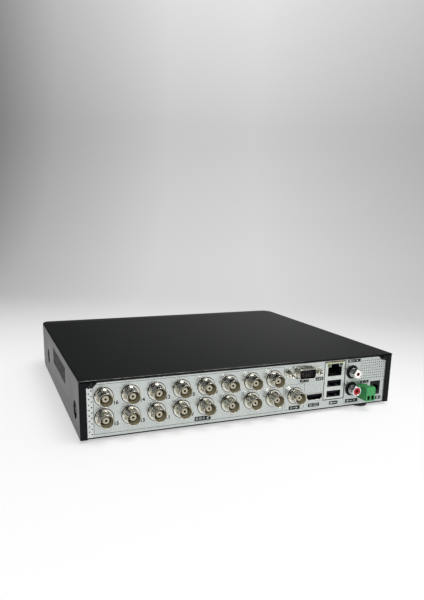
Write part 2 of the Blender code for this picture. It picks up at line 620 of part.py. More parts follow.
def rj_outline(grow=0.0):
    a, b = 6.0 + grow, 3.4 + grow
    return [(LAN_X - a, RJ_Z0 - grow), (LAN_X + a, RJ_Z0 - grow), (LAN_X + a, RJ_Z1 + grow), (LAN_X + b, RJ_Z1 + grow),
            (LAN_X + b, 39.2 + grow), (LAN_X - b, 39.2 + grow), (LAN_X - b, RJ_Z1 + grow), (LAN_X - a, RJ_Z1 + grow)]


shield = block("lan_usb_shield", x0, x1, 82.0, shield_face, LAN_Z0, LAN_Z1)
carve(shield, block("shield_inside", x0 + 0.5, x1 - 0.5, 75.0, shield_face - 0.5, LAN_Z0 + 0.5, LAN_Z1 - 0.5))
carve(shield, sheet("lan_window", [rj_outline(0.4)], 12.0, "Y", shield_face))
for a, b in USB_SLOTS:
    carve(shield, block("usb_window", LAN_X - 6.5, LAN_X + 6.5, 98.0, 112.0, a, b))
finish(shield, zinc)

core = block("lan_usb_insert", x0 + 0.9, x1 - 0.9, 82.5, shield_face - 0.9, LAN_Z0 + 0.9, LAN_Z1 - 0.9)
carve(core, sheet("lan_socket", [rj_outline()], 26.0, "Y", shield_face))
for a, b in USB_SLOTS:
    carve(core, block("usb_socket", LAN_X - 6.1, LAN_X + 6.1, 92.5, 112.0, a + 0.2, b - 0.2))
    join(core, block("usb_tongue", LAN_X - 5.4, LAN_X + 5.4, 91.5, 102.4, b - 2.5, b - 1.1))
finish(core, navy)

# ----------------------------------------------------------------------------
# Digital monitor connector: shell and contact tongue
# ----------------------------------------------------------------------------
hdmi = sheet("hdmi_shell", [hdmi_outline(HDMI_X, HDMI_Z, 0.45), hdmi_outline(HDMI_X, HDMI_Z, 0.0)], 13.0, "Y", PANEL_Y + 0.3 - 6.5)
finish(hdmi, zinc)
tongue = sheet("hdmi_tongue", [hdmi_outline(HDMI_X, HDMI_Z, -0.3)], 3.0, "Y", PANEL_Y - 10.5)
join(tongue, block("hdmi_blade", HDMI_X - 5.6, HDMI_X + 5.6, 93.0, PANEL_Y - 1.0, HDMI_Z - 0.1, HDMI_Z + 1.1))
finish(tongue, navy)

# ----------------------------------------------------------------------------
# Audio connectors: housing, two plated barrels, white and red liners
# ----------------------------------------------------------------------------
rca = block("rca_housing", RCA_X - 5.6, RCA_X + 5.2, 89.0, PANEL_IN - GAP, SEAT_Z, 38.2)
for z in (RCA_Z_HIGH, RCA_Z_LOW):
    join(rca, rod("rca_ring", "Y", (RCA_X, z), 100.0, PANEL_Y + 1.1, 5.3, seg=18))
    carve(rca, rod("rca_bore", "Y", (RCA_X, z), 93.0, 112.0, 4.45, seg=16))
finish(rca, black_plastic)
RCA_RIM = PANEL_Y + 8.1
for tag, z, mat in (("top", RCA_Z_HIGH, white_plastic), ("bottom", RCA_Z_LOW, red_plastic)):
    barrel = turned("rca_barrel_" + tag, [(4.15, RCA_RIM - 0.3), (4.15, 94.0), (3.35, 94.0), (3.35, RCA_RIM), (3.9, RCA_RIM), (4.15, RCA_RIM - 0.3)],
                    "Y", (RCA_X, z), 18)
    finish(barrel, chrome)
    liner = turned("rca_liner_" + tag, [(3.05, RCA_RIM - 0.4), (3.05, 94.0), (1.6, 94.0), (1.6, RCA_RIM - 0.4), (3.05, RCA_RIM - 0.4)],
                   "Y", (RCA_X, z), 14)
    finish(liner, mat)

# ----------------------------------------------------------------------------
# Plug-in screw terminal: board header, plug and its two clamp screws
# ----------------------------------------------------------------------------
HALF_P = PLUG_W / 2
header = block("terminal_header", PLUG_X - 4.6, PLUG_X + 4.6, 92.0, PANEL_Y + 0.2, SEAT_Z, 19.4)
carve(header, block("header_mouth", PLUG_X - 3.9, PLUG_X + 3.9, 94.0, 112.0, SEAT_Z + 0.9, 18.5))
for dx in (-1.905, 1.905):
    join(header, block("header_pin", PLUG_X + dx - 0.4, PLUG_X + dx + 0.4, 93.0, 101.8, 13.6, 14.4))
finish(header, green_plastic)

PLUG_BACK = PANEL_Y + 0.2 + GAP          # step that stops on the header
PLUG_FACE = PANEL_Y + 11.6
plug = sheet("terminal_plug", [[(PLUG_BACK, 9.0), (PLUG_FACE, 9.0), (PLUG_FACE, 17.8), (PLUG_FACE - 1.2, 20.0), (PLUG_FACE - 6.4, 20.0),
                                (PLUG_FACE - 6.4, 18.6), (PLUG_BACK, 18.6)]], PLUG_W, "X", PLUG_X)
join(plug, block("plug_nose", PLUG_X - 3.6, PLUG_X + 3.6, 95.2, PLUG_BACK + 1.0, SEAT_Z + 1.3, 18.1))
for dx in (-1.905, 1.905):
    carve(plug, block("pin_socket", PLUG_X + dx - 0.8, PLUG_X + dx + 0.8, 90.0, 103.6, 13.1, 14.9))
    carve(plug, block("wire_entry", PLUG_X + dx - 1.25, PLUG_X + dx + 1.25, PLUG_FACE - 7.0, PLUG_FACE + 2, 9.9, 13.0))
    carve(plug, rod("screw_way", "Z", (PLUG_X + dx, PLUG_FACE - 3.6), 14.2, 24.0, 1.55, seg=12))
settle(plug)
pivot(plug, PLUG_X, PLUG_BACK, 14.0)
finish(plug, green_plastic)
for n, dx in ((1, 1.905), (2, -1.905)):
    sx, sy = PLUG_X + dx, PLUG_FACE - 3.6
    screw = rod("clamp_screw_%d" % n, "Z", (sx, sy), 14.6, 19.4, 1.2, seg=12)
    carve(screw, block("slot", sx - 3, sx + 3, sy - 0.3, sy + 0.3, 18.6, 21.0))
    settle(screw)
    pivot(screw, sx, sy, 17.0)
    finish(screw, zinc)

# ----------------------------------------------------------------------------
# Power inlet: body with its round socket, and the centre pin
# ----------------------------------------------------------------------------
inlet = block("dc_inlet", DC_X - 4.6, DC_X + 4.6, 90.0, PANEL_Y + 0.3, SEAT_Z, DC_Z + 5.5)
carve(inlet, rod("dc_socket", "Y", (DC_X, DC_Z), 94.5, 110.0, 3.2, seg=20))
carve(inlet, rod("dc_pin_way", "Y", (DC_X, DC_Z), 85.0, 100.0, 1.35, seg=10))
finish(inlet, black_plastic)
pin = turned("dc_pin", [(0, PANEL_Y - 0.6), (0.6, PANEL_Y - 0.7), (1.0, PANEL_Y - 1.2), (1.0, 91.0), (0, 91.0)], "Y", (DC_X, DC_Z), 12)
finish(pin, nickel)

# ----------------------------------------------------------------------------
# Hard disc drive: casting, lid, platter with hub, head arm
# ----------------------------------------------------------------------------
DRIVE = (-58.5, 88.5, -98.0, 3.6, 5.5, 30.2)
drive = block("hdd_base", *DRIVE)
carve(drive, rod("platter_well", "Z", (DISC_X, DISC_Y), 14.0, 34.0, 49.3, seg=36))
carve(drive, block("arm_well", DISC_X, 84.5, -94.5, -0.5, 14.0, 34.0))
join(drive, rod("spindle_post", "Z", (DISC_X, DISC_Y), 13.5, 20.2, 5.0, seg=14))
join(drive, rod("arm_post", "Z", (ARM_X, ARM_Y), 13.5, 27.0, 3.5, seg=12))
carve(drive, block("circuit_recess", -50.0, 80.0, -88.0, -6.0, 3.0, 7.5))
finish(drive, cast)
lid = sheet("hdd_lid", [rounded([(-58.0, -97.5), (88.0, -97.5), (88.0, 3.1), (-58.0, 3.1)], [4, 4, 4, 4])], 1.2, "Z", 31.1)
join(lid, rod("lid_step", "Z", (DISC_X, DISC_Y), 31.2, 32.3, 44.0, 43.0, 32))
finish(lid, aluminium)
platter = turned("hdd_platter", [(12.5, 20.4), (12.5, 19.4), (47.5, 19.4), (47.5, 18.1), (12.5, 18.1), (12.5, 14.6), (5.6, 14.6), (5.6, 20.4), (12.5, 20.4)],
                 "Z", (DISC_X, DISC_Y), 30)
settle(platter)
pivot(platter, DISC_X, DISC_Y, 18.7)
finish(platter, mirror)

# the arm parks just outside the platter's edge
REACH = 50.0
span = math.hypot(DISC_X - ARM_X, DISC_Y - ARM_Y)
toward = math.atan2(DISC_Y - ARM_Y, DISC_X - ARM_X)
park = math.acos((span * span + REACH * REACH - 50.5 * 50.5) / (2 * span * REACH))
aim = toward - park


def polar(r, t):
    return (ARM_X + r * math.cos(aim + t), ARM_Y + r * math.sin(aim + t))


blade = [polar(8.0, 0.75), polar(REACH, 0.07), polar(REACH + 2.5, 0.0), polar(REACH, -0.07), polar(8.0, -0.75)]
coil_side = [polar(8.0, -1.4), polar(24.0, math.pi + 0.62)] + [polar(26.0, math.pi + 0.5 - 0.25 * k) for k in range(5)] + [polar(24.0, math.pi - 0.62), polar(8.0, 1.4)]
arm = sheet("hdd_head_arm", [blade + coil_side], 1.8, "Z", 21.9)
join(arm, rod("arm_hub", "Z", (ARM_X, ARM_Y), 20.9, 26.0, 7.6, seg=18))
carve(arm, rod("arm_bore", "Z", (ARM_X, ARM_Y), 10.0, 30.0, 4.1, seg=14))
settle(arm)
pivot(arm, ARM_X, ARM_Y, 21.9)
finish(arm, aluminium)

# ----------------------------------------------------------------------------
# Fasteners and feet
# ----------------------------------------------------------------------------


def side_screw(name, sign, y, z):
    """Pan-head screw with a cross recess, seated in a dished hole."""
    seat = HALF_W - DISH_DEPTH + GAP
    profile = [(0, seat + 1.5), (1.6, seat + 1.4), (2.7, seat + 0.8), (3.0, seat), (1.45, seat), (1.45, 118.5), (0, 118.5)]
    screw = turned(name, profile, "X", (y, z), 10)
    if sign < 0:
        screw.matrix_world = Matrix.Translation((0, y * MM, z * MM)) @ Matrix.Rotation(-math.pi / 2, 4, "Y")
    slot_a, slot_b = (seat + 0.7, seat + 3) if sign > 0 else (-seat - 3, -seat - 0.7)
    carve(screw, block("recess_a", slot_a, slot_b, y - 0.35, y + 0.35, z - 1.5, z + 1.5))
    carve(screw, block("recess_b", slot_a, slot_b, y - 1.5, y + 1.5, z - 0.35, z + 0.35))
    finish(screw, black_screw)
    return screw


n = 1
for sign in (1, -1):
    for y, z in (DIMPLE_REAR, DIMPLE_FRONT):
        side_screw("cover_screw_%d" % n, sign, y, z)
        n += 1

for n, sign in ((1, 1), (2, -1)):
    profile = [(0, REAR_Y + 1.3), (1.2, REAR_Y + 1.2), (1.9, REAR_Y + 0.7), (2.0, REAR_Y + GAP), (0.95, REAR_Y + GAP), (0.95, 100.5), (0, 100.5)]
    ear = turned("rear_screw_%d" % n, profile, "Y", (sign * EAR_X, EAR_Z), 12)
    finish(ear, black_screw)

for n, (x, y) in enumerate(((104.0, 91.0), (-104.0, 95.6), (104.0, -84.0), (-104.0, -84.0)), 1):
    foot = turned("foot_%d" % n, [(0, BASE_Z - GAP), (7.5, BASE_Z - GAP), (7.1, 0.35), (6.7, 0.0), (0, 0.0)], "Z", (x, y), 20)
    finish(foot, rubber)
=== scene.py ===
import math

import bmesh
import bpy
from mathutils import Matrix, Vector


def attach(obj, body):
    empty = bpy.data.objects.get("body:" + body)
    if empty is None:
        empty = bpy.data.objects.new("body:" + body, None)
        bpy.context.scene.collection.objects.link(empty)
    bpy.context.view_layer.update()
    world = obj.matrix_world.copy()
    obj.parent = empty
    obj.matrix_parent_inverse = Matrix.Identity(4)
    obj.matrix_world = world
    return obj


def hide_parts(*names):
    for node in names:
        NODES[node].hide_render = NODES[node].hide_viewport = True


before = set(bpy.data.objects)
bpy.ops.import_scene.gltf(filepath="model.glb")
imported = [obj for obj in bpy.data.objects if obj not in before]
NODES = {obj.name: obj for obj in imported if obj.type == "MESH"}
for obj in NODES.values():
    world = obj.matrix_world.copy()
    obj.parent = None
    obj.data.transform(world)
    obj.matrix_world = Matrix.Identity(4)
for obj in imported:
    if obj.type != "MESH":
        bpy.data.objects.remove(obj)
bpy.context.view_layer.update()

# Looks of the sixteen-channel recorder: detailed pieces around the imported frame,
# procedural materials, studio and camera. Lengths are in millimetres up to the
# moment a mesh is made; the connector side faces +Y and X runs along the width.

MM = 0.001
TAU = 2 * math.pi

# ----------------------------------------------------------------------------
# Dimensions shared with the frame
# ----------------------------------------------------------------------------
BASE_Z, TOP_Z = 2.6, 44.2
HALF_W = 127.5
REAR_Y, FRONT_Y, FACE_Y = 105.0, -102.0, -115.5
SHEET, GAP = 0.8, 0.3
PANEL_Y = REAR_Y - SHEET - GAP
PANEL_IN = PANEL_Y - SHEET
PANEL_BOTTOM, PANEL_TOP, PANEL_HALF = 3.55, 41.95, 126.2
BNC_X = [110.98 - 18.517 * i for i in range(8)]
BNC_Z = (32.0, 16.9)
BNC_HOLE_R = 6.75
RIM_Y = PANEL_Y + 9.3
OUT_X, OUT_Z = -37.6, 16.7
VGA_X, VGA_Z, VGA_RIM = -44.6, 34.75, PANEL_Y + 6.0
HDMI_X, HDMI_Z = -55.2, 13.9
LAN_X, LAN_W, LAN_Z0, LAN_Z1 = -72.8, 18.4, 10.6, 41.2
LAN_FACE = PANEL_Y + 0.35
RCA_X, RCA_Z, RCA_RIM = -89.8, (31.1, 17.1), PANEL_Y + 8.1
PLUG_X, PLUG_W, PLUG_BACK, PLUG_FACE = -100.8, 8.6, PANEL_Y + 0.5, PANEL_Y + 11.6
DC_X, DC_Z = -113.3, 15.6
SEAT_Z = 10.2
DISHES = ((86.0, 18.7), (-65.3, 20.7))
VENT = (-28.8, 42.2, 23.5, 37.5)
EAR_X, EAR_Z = 119.6, 40.8


# ----------------------------------------------------------------------------
# Mesh building
# ----------------------------------------------------------------------------
class Shape:
    """Closed shells in millimetres, each face with a material number."""

    def __init__(self):
        self.v, self.f, self.m = [], [], []

    def add(self, verts, faces, mat=0):
        base = len(self.v)
        self.v += [tuple(p) for p in verts]
        self.f += [tuple(base + i for i in face) for face in faces]
        self.m += [mat] * len(faces)
        return self


def spot(axis, at, u, v, s):
    """Point at station s along an axis, with offsets u and v across it."""
    if axis == "Y":
        return (at[0] + u, s, at[1] + v)
    if axis == "X":
        return (s, at[0] + u, at[1] + v)
    return (at[0] + u, at[1] + v, s)


def lathe(shape, profile, axis, at, seg=48, mat=0, turn=0.0, mats=None):
    """Turned shell. A profile with equal ends is a tube; one that starts and ends
    at radius 0 is a solid. 'mats' gives a material per profile step."""
    loop = profile[0] == profile[-1]
    points = profile[:-1] if loop else profile
    verts, rows = [], []
    for r, s in points:
        if r < 1e-6:
            rows.append([len(verts)])
            verts.append(spot(axis, at, 0, 0, s))
        else:
            rows.append(list(range(len(verts), len(verts) + seg)))
            verts += [spot(axis, at, r * math.cos(turn + TAU * k / seg), r * math.sin(turn + TAU * k / seg), s) for k in range(seg)]
    base = len(shape.v)
    shape.v += verts
    pairs = [(i, i + 1) for i in range(len(rows) - 1)] + ([(len(rows) - 1, 0)] if loop else [])
    for n, (a, b) in enumerate(pairs):
        ra, rb = rows[a], rows[b]
        number = mats[n] if mats else mat
        for k in range(seg):
            j = (k + 1) % seg
            if len(ra) == 1 and len(rb) == 1:
                continue
            if len(ra) == 1:
                face = (ra[0], rb[j], rb[k])
            elif len(rb) == 1:
                face = (ra[k], ra[j], rb[0])
            else:
                face = (ra[k], ra[j], rb[j], rb[k])
            shape.f.append(tuple(base + i for i in face))
            shape.m.append(number)
    return shape


def ring(u, v, r, seg=24, turn=0.0):
    return [(u + r * math.cos(turn + TAU * i / seg), v + r * math.sin(turn + TAU * i / seg)) for i in range(seg)]


def rect(u0, u1, v0, v1):
    return [(u0, v0), (u1, v0), (u1, v1), (u0, v1)]


def rounded(points, radii, steps=5):
    """Outline with each corner turned into an arc."""
    out, n = [], len(points)
    if not isinstance(radii, (list, tuple)):
        radii = [radii] * n
    for i, (p, r) in enumerate(zip(points, radii)):
        if r <= 0:
            out.append(p)
            continue
        here = Vector(p)
        before = (Vector(points[i - 1]) - here).normalized()
        after = (Vector(points[(i + 1) % n]) - here).normalized()
        half = before.angle(after) / 2
        reach = r / math.tan(half)
        centre = here + (before + after).normalized() * (r / math.sin(half))
        start, end = here + before * reach - centre, here + after * reach - centre
        sweep = math.pi - 2 * half
        for k in range(steps + 1):
            t = k / steps
            arm = (start * math.sin((1 - t) * sweep) + end * math.sin(t * sweep)) / math.sin(sweep)
            out.append((centre.x + arm.x, centre.y + arm.y))
    return out


def area(loop):
    return sum(a[0] * b[1] - b[0] * a[1] for a, b in zip(loop, loop[1:] + loop[:1])) / 2


def inset(loop, d):
    """Outline moved inwards by d (outwards if negative)."""
    turn = 1 if area(loop) > 0 else -1
    out, n = [], len(loop)
    for i, p in enumerate(loop):
        a, b = Vector(loop[i - 1]), Vector(loop[(i + 1) % n])
        e0, e1 = (Vector(p) - a).normalized(), (b - Vector(p)).normalized()
        n0, n1 = Vector((-e0.y, e0.x)) * turn, Vector((-e1.y, e1.x)) * turn
        mid = (n0 + n1)
        mid = mid / max(mid.length_squared / 2, 0.3)
        out.append((p[0] + mid.x * d, p[1] + mid.y * d))
    return out


def place(axis, u, v, s):
    return {"Y": (u, s, v), "X": (s, u, v), "Z": (u, v, s)}[axis]


def prism(shape, loop, a, b, axis="Y", mat=0, ca=0.0, cb=0.0, cap_mat=None):
    """Outline given a length from station a to b, its end edges chamfered by ca and cb."""
    stations = []
    if ca > 0:
        stations.append((a, ca))
        stations.append((a + ca, 0.0))
    else:
        stations.append((a, 0.0))
    if cb > 0:
        stations.append((b - cb, 0.0))
        stations.append((b, cb))
    else:
        stations.append((b, 0.0))
    n, verts, faces, mats = len(loop), [], [], []
    for s, d in stations:
        verts += [place(axis, u, v, s) for u, v in (inset(loop, d) if d else loop)]
    for row in range(len(stations) - 1):
        for k in range(n):
            j = (k + 1) % n
            faces.append((row * n + k, row * n + j, (row + 1) * n + j, (row + 1) * n + k))
            mats.append(mat)
    last = (len(stations) - 1) * n
    faces.append(tuple(range(n)))
    faces.append(tuple(last + k for k in range(n)))
    mats += [mat, mat if cap_mat is None else cap_mat]
    base = len(shape.v)
    shape.v += verts
    shape.f += [tuple(base + i for i in f) for f in faces]
    shape.m += mats
    return shape


def cuboid(shape, x0, x1, y0, y1, z0, z1, c=0.15, mat=0):
    """Box with all its edges chamfered."""
    c = min(c, (x1 - x0) / 3, (y1 - y0) / 3, (z1 - z0) / 3)
    bm = bmesh.new()
    bmesh.ops.create_cube(bm, size=1.0, matrix=Matrix.Translation(((x0 + x1) / 2, (y0 + y1) / 2, (z0 + z1) / 2)) @ Matrix.Diagonal((x1 - x0, y1 - y0, z1 - z0, 1)))
    if c > 0:
        bmesh.ops.bevel(bm, geom=list(bm.edges), offset=c, segments=2, profile=0.6, affect="EDGES")
    bm.verts.index_update()
    shape.add([v.co for v in bm.verts], [[v.index for v in f.verts] for f in bm.faces], mat)
    bm.free()
    return shape


def plate_mesh(loops, thickness):
    """Flat outline with holes as a bmesh, millimetres, thickness along local z."""
    curve = bpy.data.curves.new("tmp_plate", "CURVE")
    curve.dimensions = "2D"
    curve.fill_mode = "BOTH"
    curve.extrude = thickness / 2
    for loop in loops:
        spline = curve.splines.new("POLY")
        spline.points.add(len(loop) - 1)
        for point, (u, v) in zip(spline.points, loop):
            point.co = (u, v, 0.0, 1.0)
        spline.use_cyclic_u = True
    obj = bpy.data.objects.new("tmp_plate", curve)
    bpy.context.scene.collection.objects.link(obj)
    bpy.context.view_layer.update()
    mesh = bpy.data.meshes.new_from_object(obj.evaluated_get(bpy.context.evaluated_depsgraph_get()))
    bpy.data.objects.remove(obj, do_unlink=True)
    bpy.data.curves.remove(curve)
    bm = bmesh.new()
    bm.from_mesh(mesh)
    bpy.data.meshes.remove(mesh)
    bmesh.ops.remove_doubles(bm, verts=bm.verts, dist=1e-4)
    return bm


def plate(shape, loops, a, b, axis="Y", mat=0):
    bm = plate_mesh(loops, b - a)
    bm.verts.index_update()
    mid = (a + b) / 2
    shape.add([place(axis, v.co.x, v.co.y, mid + v.co.z) for v in bm.verts], [[v.index for v in f.verts] for f in bm.faces], mat)
    bm.free()
    return shape


def glyphs(shape, text, x, z, size, y0, y1, mat=0):
    """Numerals seen from the connector side, centred on (x, z)."""
    curve = bpy.data.curves.new("tmp_glyphs", "FONT")
    curve.body = text
    curve.size = size
    curve.align_x, curve.align_y = "CENTER", "CENTER"
    curve.extrude = (y1 - y0) / 2
    curve.offset = 0.035 * size
    curve.resolution_u = 3
    obj = bpy.data.objects.new("tmp_glyphs", curve)
    bpy.context.scene.collection.objects.link(obj)
    bpy.context.view_layer.update()
    mesh = bpy.data.meshes.new_from_object(obj.evaluated_get(bpy.context.evaluated_depsgraph_get()))
    bpy.data.objects.remove(obj, do_unlink=True)
    bpy.data.curves.remove(curve)
    bm = bmesh.new()
    bm.from_mesh(mesh)
    bpy.data.meshes.remove(mesh)
    bmesh.ops.remove_doubles(bm, verts=bm.verts, dist=1e-4)
    bm.verts.index_update()
    shape.add([(x - v.co.x, (y0 + y1) / 2 + v.co.z, z + v.co.y) for v in bm.verts], [[v.index for v in f.verts] for f in bm.faces], mat)
    bm.free()
    return shape


def mesh_of(name, shape, mats, angle=32.0, weld=1e-4):
    bm = bmesh.new()
    verts = [bm.verts.new(Vector(p) * MM) for p in shape.v]
    for face, number in zip(shape.f, shape.m):
        try:
            made = bm.faces.new([verts[i] for i in face])
            made.material_index = number
        except ValueError:
            pass
    if weld:
        bmesh.ops.remove_doubles(bm, verts=bm.verts, dist=weld * MM)
    bmesh.ops.recalc_face_normals(bm, faces=bm.faces)
    mesh = bpy.data.meshes.new(name)
    bm.to_mesh(mesh)
    bm.free()
    for m in mats:
        mesh.materials.append(m)
    mesh.shade_smooth()
    mesh.set_sharp_from_angle(angle=math.radians(angle))
    return mesh


def piece(name, shape, mats, body="recorder", replaces=(), angle=32.0, mesh=None, shift=None):
    """A shown piece that rides on a body. 'shift' moves a shared mesh, in millimetres."""
    mats = mats if isinstance(mats, (list, tuple)) else [mats]
    mesh = mesh or mesh_of(name, shape, mats, angle)
    obj = bpy.data.objects.new(name, mesh)
    bpy.context.scene.collection.objects.link(obj)
    if shift:
        obj.location = Vector(shift) * MM
    if replaces:
        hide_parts(*([replaces] if isinstance(replaces, str) else replaces))
    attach(obj, body)
    return obj


# ----------------------------------------------------------------------------
# Materials: every one is a small node network on object coordinates
# ----------------------------------------------------------------------------
class Paint:
    """Wraps one material's nodes with short calls."""

    def __init__(self, name):
        self.mat = bpy.data.materials.new(name)
        self.mat.use_nodes = True
        self.tree = self.mat.node_tree
        self.bsdf = self.tree.nodes["Principled BSDF"]
        self.where = self.tree.nodes.new("ShaderNodeTexCoord").outputs["Object"]

    def node_output(self):
        return self.tree.nodes["Material Output"].inputs["Surface"]

    def put(self, key, value):
        self.bsdf.inputs[key].default_value = value
        return self

    def wire(self, a, b):
        self.tree.links.new(a, b)

    def node(self, kind, **props):
        made = self.tree.nodes.new(kind)
        for k, v in props.items():
            setattr(made, k, v)
        return made

    def stretch(self, factors):
        made = self.node("ShaderNodeMapping")
        made.inputs["Scale"].default_value = factors
        self.wire(self.where, made.inputs["Vector"])
        return made.outputs["Vector"]

    def noise(self, scale, detail=4.0, rough=0.55, vector=None, seed=0.0):
        made = self.node("ShaderNodeTexNoise", noise_dimensions="4D")
        made.inputs["Scale"].default_value = scale
        made.inputs["Detail"].default_value = detail
        made.inputs["Roughness"].default_value = rough
        made.inputs["W"].default_value = seed
        self.wire(vector or self.where, made.inputs["Vector"])
        return made.outputs["Fac"]

    def cells(self, scale, feature="F1", vector=None):
        made = self.node("ShaderNodeTexVoronoi", feature=feature)
        made.inputs["Scale"].default_value = scale
        self.wire(vector or self.where, made.inputs["Vector"])
        return made.outputs["Distance"]

    def ramp(self, source, stops):
        made = self.node("ShaderNodeValToRGB")
        elements = made.color_ramp.elements
        while len(elements) < len(stops):
            elements.new(0.5)
        for e, (at, colour) in zip(elements, stops):
            e.position = at
            e.color = (*colour, 1.0) if isinstance(colour, (tuple, list)) else (colour, colour, colour, 1.0)
        self.wire(source, made.inputs["Fac"])
        return made.outputs["Color"]

    def span(self, source, a0, a1, b0, b1):
        made = self.node("ShaderNodeMapRange", clamp=True)
        for key, value in zip(("From Min", "From Max", "To Min", "To Max"), (a0, a1, b0, b1)):
            made.inputs[key].default_value = value
        self.wire(source, made.inputs["Value"])
        return made.outputs["Result"]

    def mix(self, factor, a, b, blend="MIX"):
        made = self.node("ShaderNodeMix", data_type="RGBA", blend_type=blend)
        for value, key in ((factor, 0), (a, 6), (b, 7)):
            if isinstance(value, bpy.types.NodeSocket):
                self.wire(value, made.inputs[key])
            elif key == 0:
                made.inputs[0].default_value = value
            else:
                made.inputs[key].default_value = (*value, 1.0)
        return made.outputs[2]

    def math(self, op, a, b=0.0):
        made = self.node("ShaderNodeMath", operation=op)
        for value, key in ((a, 0), (b, 1)):
            if isinstance(value, bpy.types.NodeSocket):
                self.wire(value, made.inputs[key])
            else:
                made.inputs[key].default_value = value
        return made.outputs[0]

    def axis(self, letter):
        made = self.node("ShaderNodeSeparateXYZ")
        self.wire(self.where, made.inputs[0])
        return made.outputs[letter]

    def bump(self, height, strength=0.3, distance=0.0001, below=None):
        made = self.node("ShaderNodeBump")
        made.inputs["Strength"].default_value = strength
        made.inputs["Distance"].default_value = distance
        self.wire(height, made.inputs["Height"])
        if below:
            self.wire(below, made.inputs["Normal"])
        self.wire(made.outputs["Normal"], self.bsdf.inputs["Normal"])
        return made.outputs["Normal"]

    def colour(self, socket):
        self.wire(socket, self.bsdf.inputs["Base Color"])
        return self

    def rough(self, socket):
        self.wire(socket, self.bsdf.inputs["Roughness"])
        return self


def tint(rgb, k):
    return tuple(min(1.0, c * k) for c in rgb)


def plastic(name, rgb, rough=0.42, grain=2600, depth=0.00004, vary=0.12, specular=0.5):
    """Moulded plastic: fine spark-eroded grain, slight flow marks."""
    p = Paint(name)
    flow = p.noise(60, 3, 0.5, seed=1.0)
    p.colour(p.ramp(flow, [(0.3, tint(rgb, 1 - vary)), (0.7, tint(rgb, 1 + vary))]))
    fine = p.noise(grain, 2, 0.6, seed=2.0)
    p.rough(p.span(fine, 0.3, 0.7, rough - 0.05, rough + 0.07))
    p.bump(fine, 0.25, depth)
    p.put("Specular IOR Level", specular)
    return p.mat


def metal(name, rgb, rough=0.25, grain=900, vary=0.08, streak=None, depth=0.00002, metallic=1.0, stain_and_shade=None):
    """Plated or bare metal: handling marks in the gloss, light tarnish in the colour; the optional patch colour is
    tarnish on plated shells and painted shade in the socket bores.
    """
    p = Paint(name)
    vector = p.stretch(streak) if streak else None
    cloud = p.noise(90, 4, 0.55, seed=3.0)
    tone = p.ramp(cloud, [(0.3, tint(rgb, 1 - vary)), (0.7, tint(rgb, 1 + vary))])
    if stain_and_shade:
        spots = p.noise(260, 3, 0.6, seed=5.0)
        tone = p.mix(p.span(spots, 0.5, 0.75, 0.0, 0.7), tone, stain_and_shade)
    p.colour(tone)
    fine = p.noise(grain, 3, 0.6, vector, seed=4.0)
    p.rough(p.span(fine, 0.3, 0.7, max(rough - 0.05, 0.03), rough + 0.07))
    p.bump(fine, 0.2, depth)
    p.put("Metallic", metallic)
    return p.mat


def powder_coat(name, rgb=(0.0135, 0.0150, 0.0145), rough=0.5, specular=0.4):
    """Fine-textured powder coat on steel, with faint dust in the pits."""
    p = Paint(name)
    pits = p.noise(1500, 3, 0.6, seed=1.0)
    wide = p.noise(14, 3, 0.5, seed=2.0)
    base = p.ramp(wide, [(0.3, tint(rgb, 0.92)), (0.7, tint(rgb, 1.10))])
    dusty = p.mix(p.span(pits, 0.60, 0.80, 0.0, 0.25), base, tint(rgb, 2.2))
    p.colour(dusty)
    p.rough(p.span(pits, 0.3, 0.7, rough - 0.05, rough + 0.06))
    p.bump(pits, 0.25, 0.00006)
    p.put("Specular IOR Level", specular)
    p.put("Specular Tint", (0.95, 1.0, 0.97, 1.0))
    return p.mat


def rear_edge_highlight():
    """Folded rear edge of the cover: a painted highlight line in light flecks, fading to black towards -X."""
    p = Paint("rear_edge_highlight")
    highlight_flecks = p.noise(420, 3, 0.6, seed=3.0)
    tone = p.mix(p.span(highlight_flecks, 0.38, 0.62, 0.0, 1.0), (0.035, 0.038, 0.036), (0.21, 0.21, 0.18))
    # painted highlight: the edge is light only towards +X, where the light catches it, and black towards -X
    tone = p.mix(p.span(p.axis("X"), -0.050, -0.015, 1.0, 0.0), tone, (0.007, 0.008, 0.008))
    p.colour(tone)
    p.rough(p.span(highlight_flecks, 0.3, 0.7, 0.45, 0.30))
    p.bump(highlight_flecks, 0.2, 0.00003)
    return p.mat


def silver_panel():
    """Zinc-coated sheet with a cool matt lacquer and a faint rolled grain."""
    p = Paint("silver_panel")
    grain = p.noise(700, 3, 0.6, p.stretch((0.25, 1.0, 1.0)), seed=1.0)
    cloud = p.noise(26, 4, 0.6, seed=2.0)
    speck = p.noise(1700, 2, 0.5, seed=3.0)
    tone = p.ramp(cloud, [(0.3, (0.480, 0.515, 0.500)), (0.7, (0.555, 0.590, 0.570))])
    tone = p.mix(p.span(speck, 0.35, 0.7, 0.0, 0.22), tone, (0.66, 0.69, 0.67))
    x = p.axis("X")
    tone = p.mix(p.span(x, 0.1184, 0.1188, 0.0, 0.45), tone, (0.74, 0.76, 0.75))
    # painted shade: the panel's colour darkens towards its -X end
    tone = p.mix(p.span(x, -0.125, -0.060, 0.40, 0.0), tone, (0.36, 0.395, 0.385))
    p.colour(tone)
    p.rough(p.span(grain, 0.3, 0.7, 0.21, 0.30))
    p.bump(grain, 0.18, 0.00003)
    p.put("Metallic", 0.82)
    return p.mat


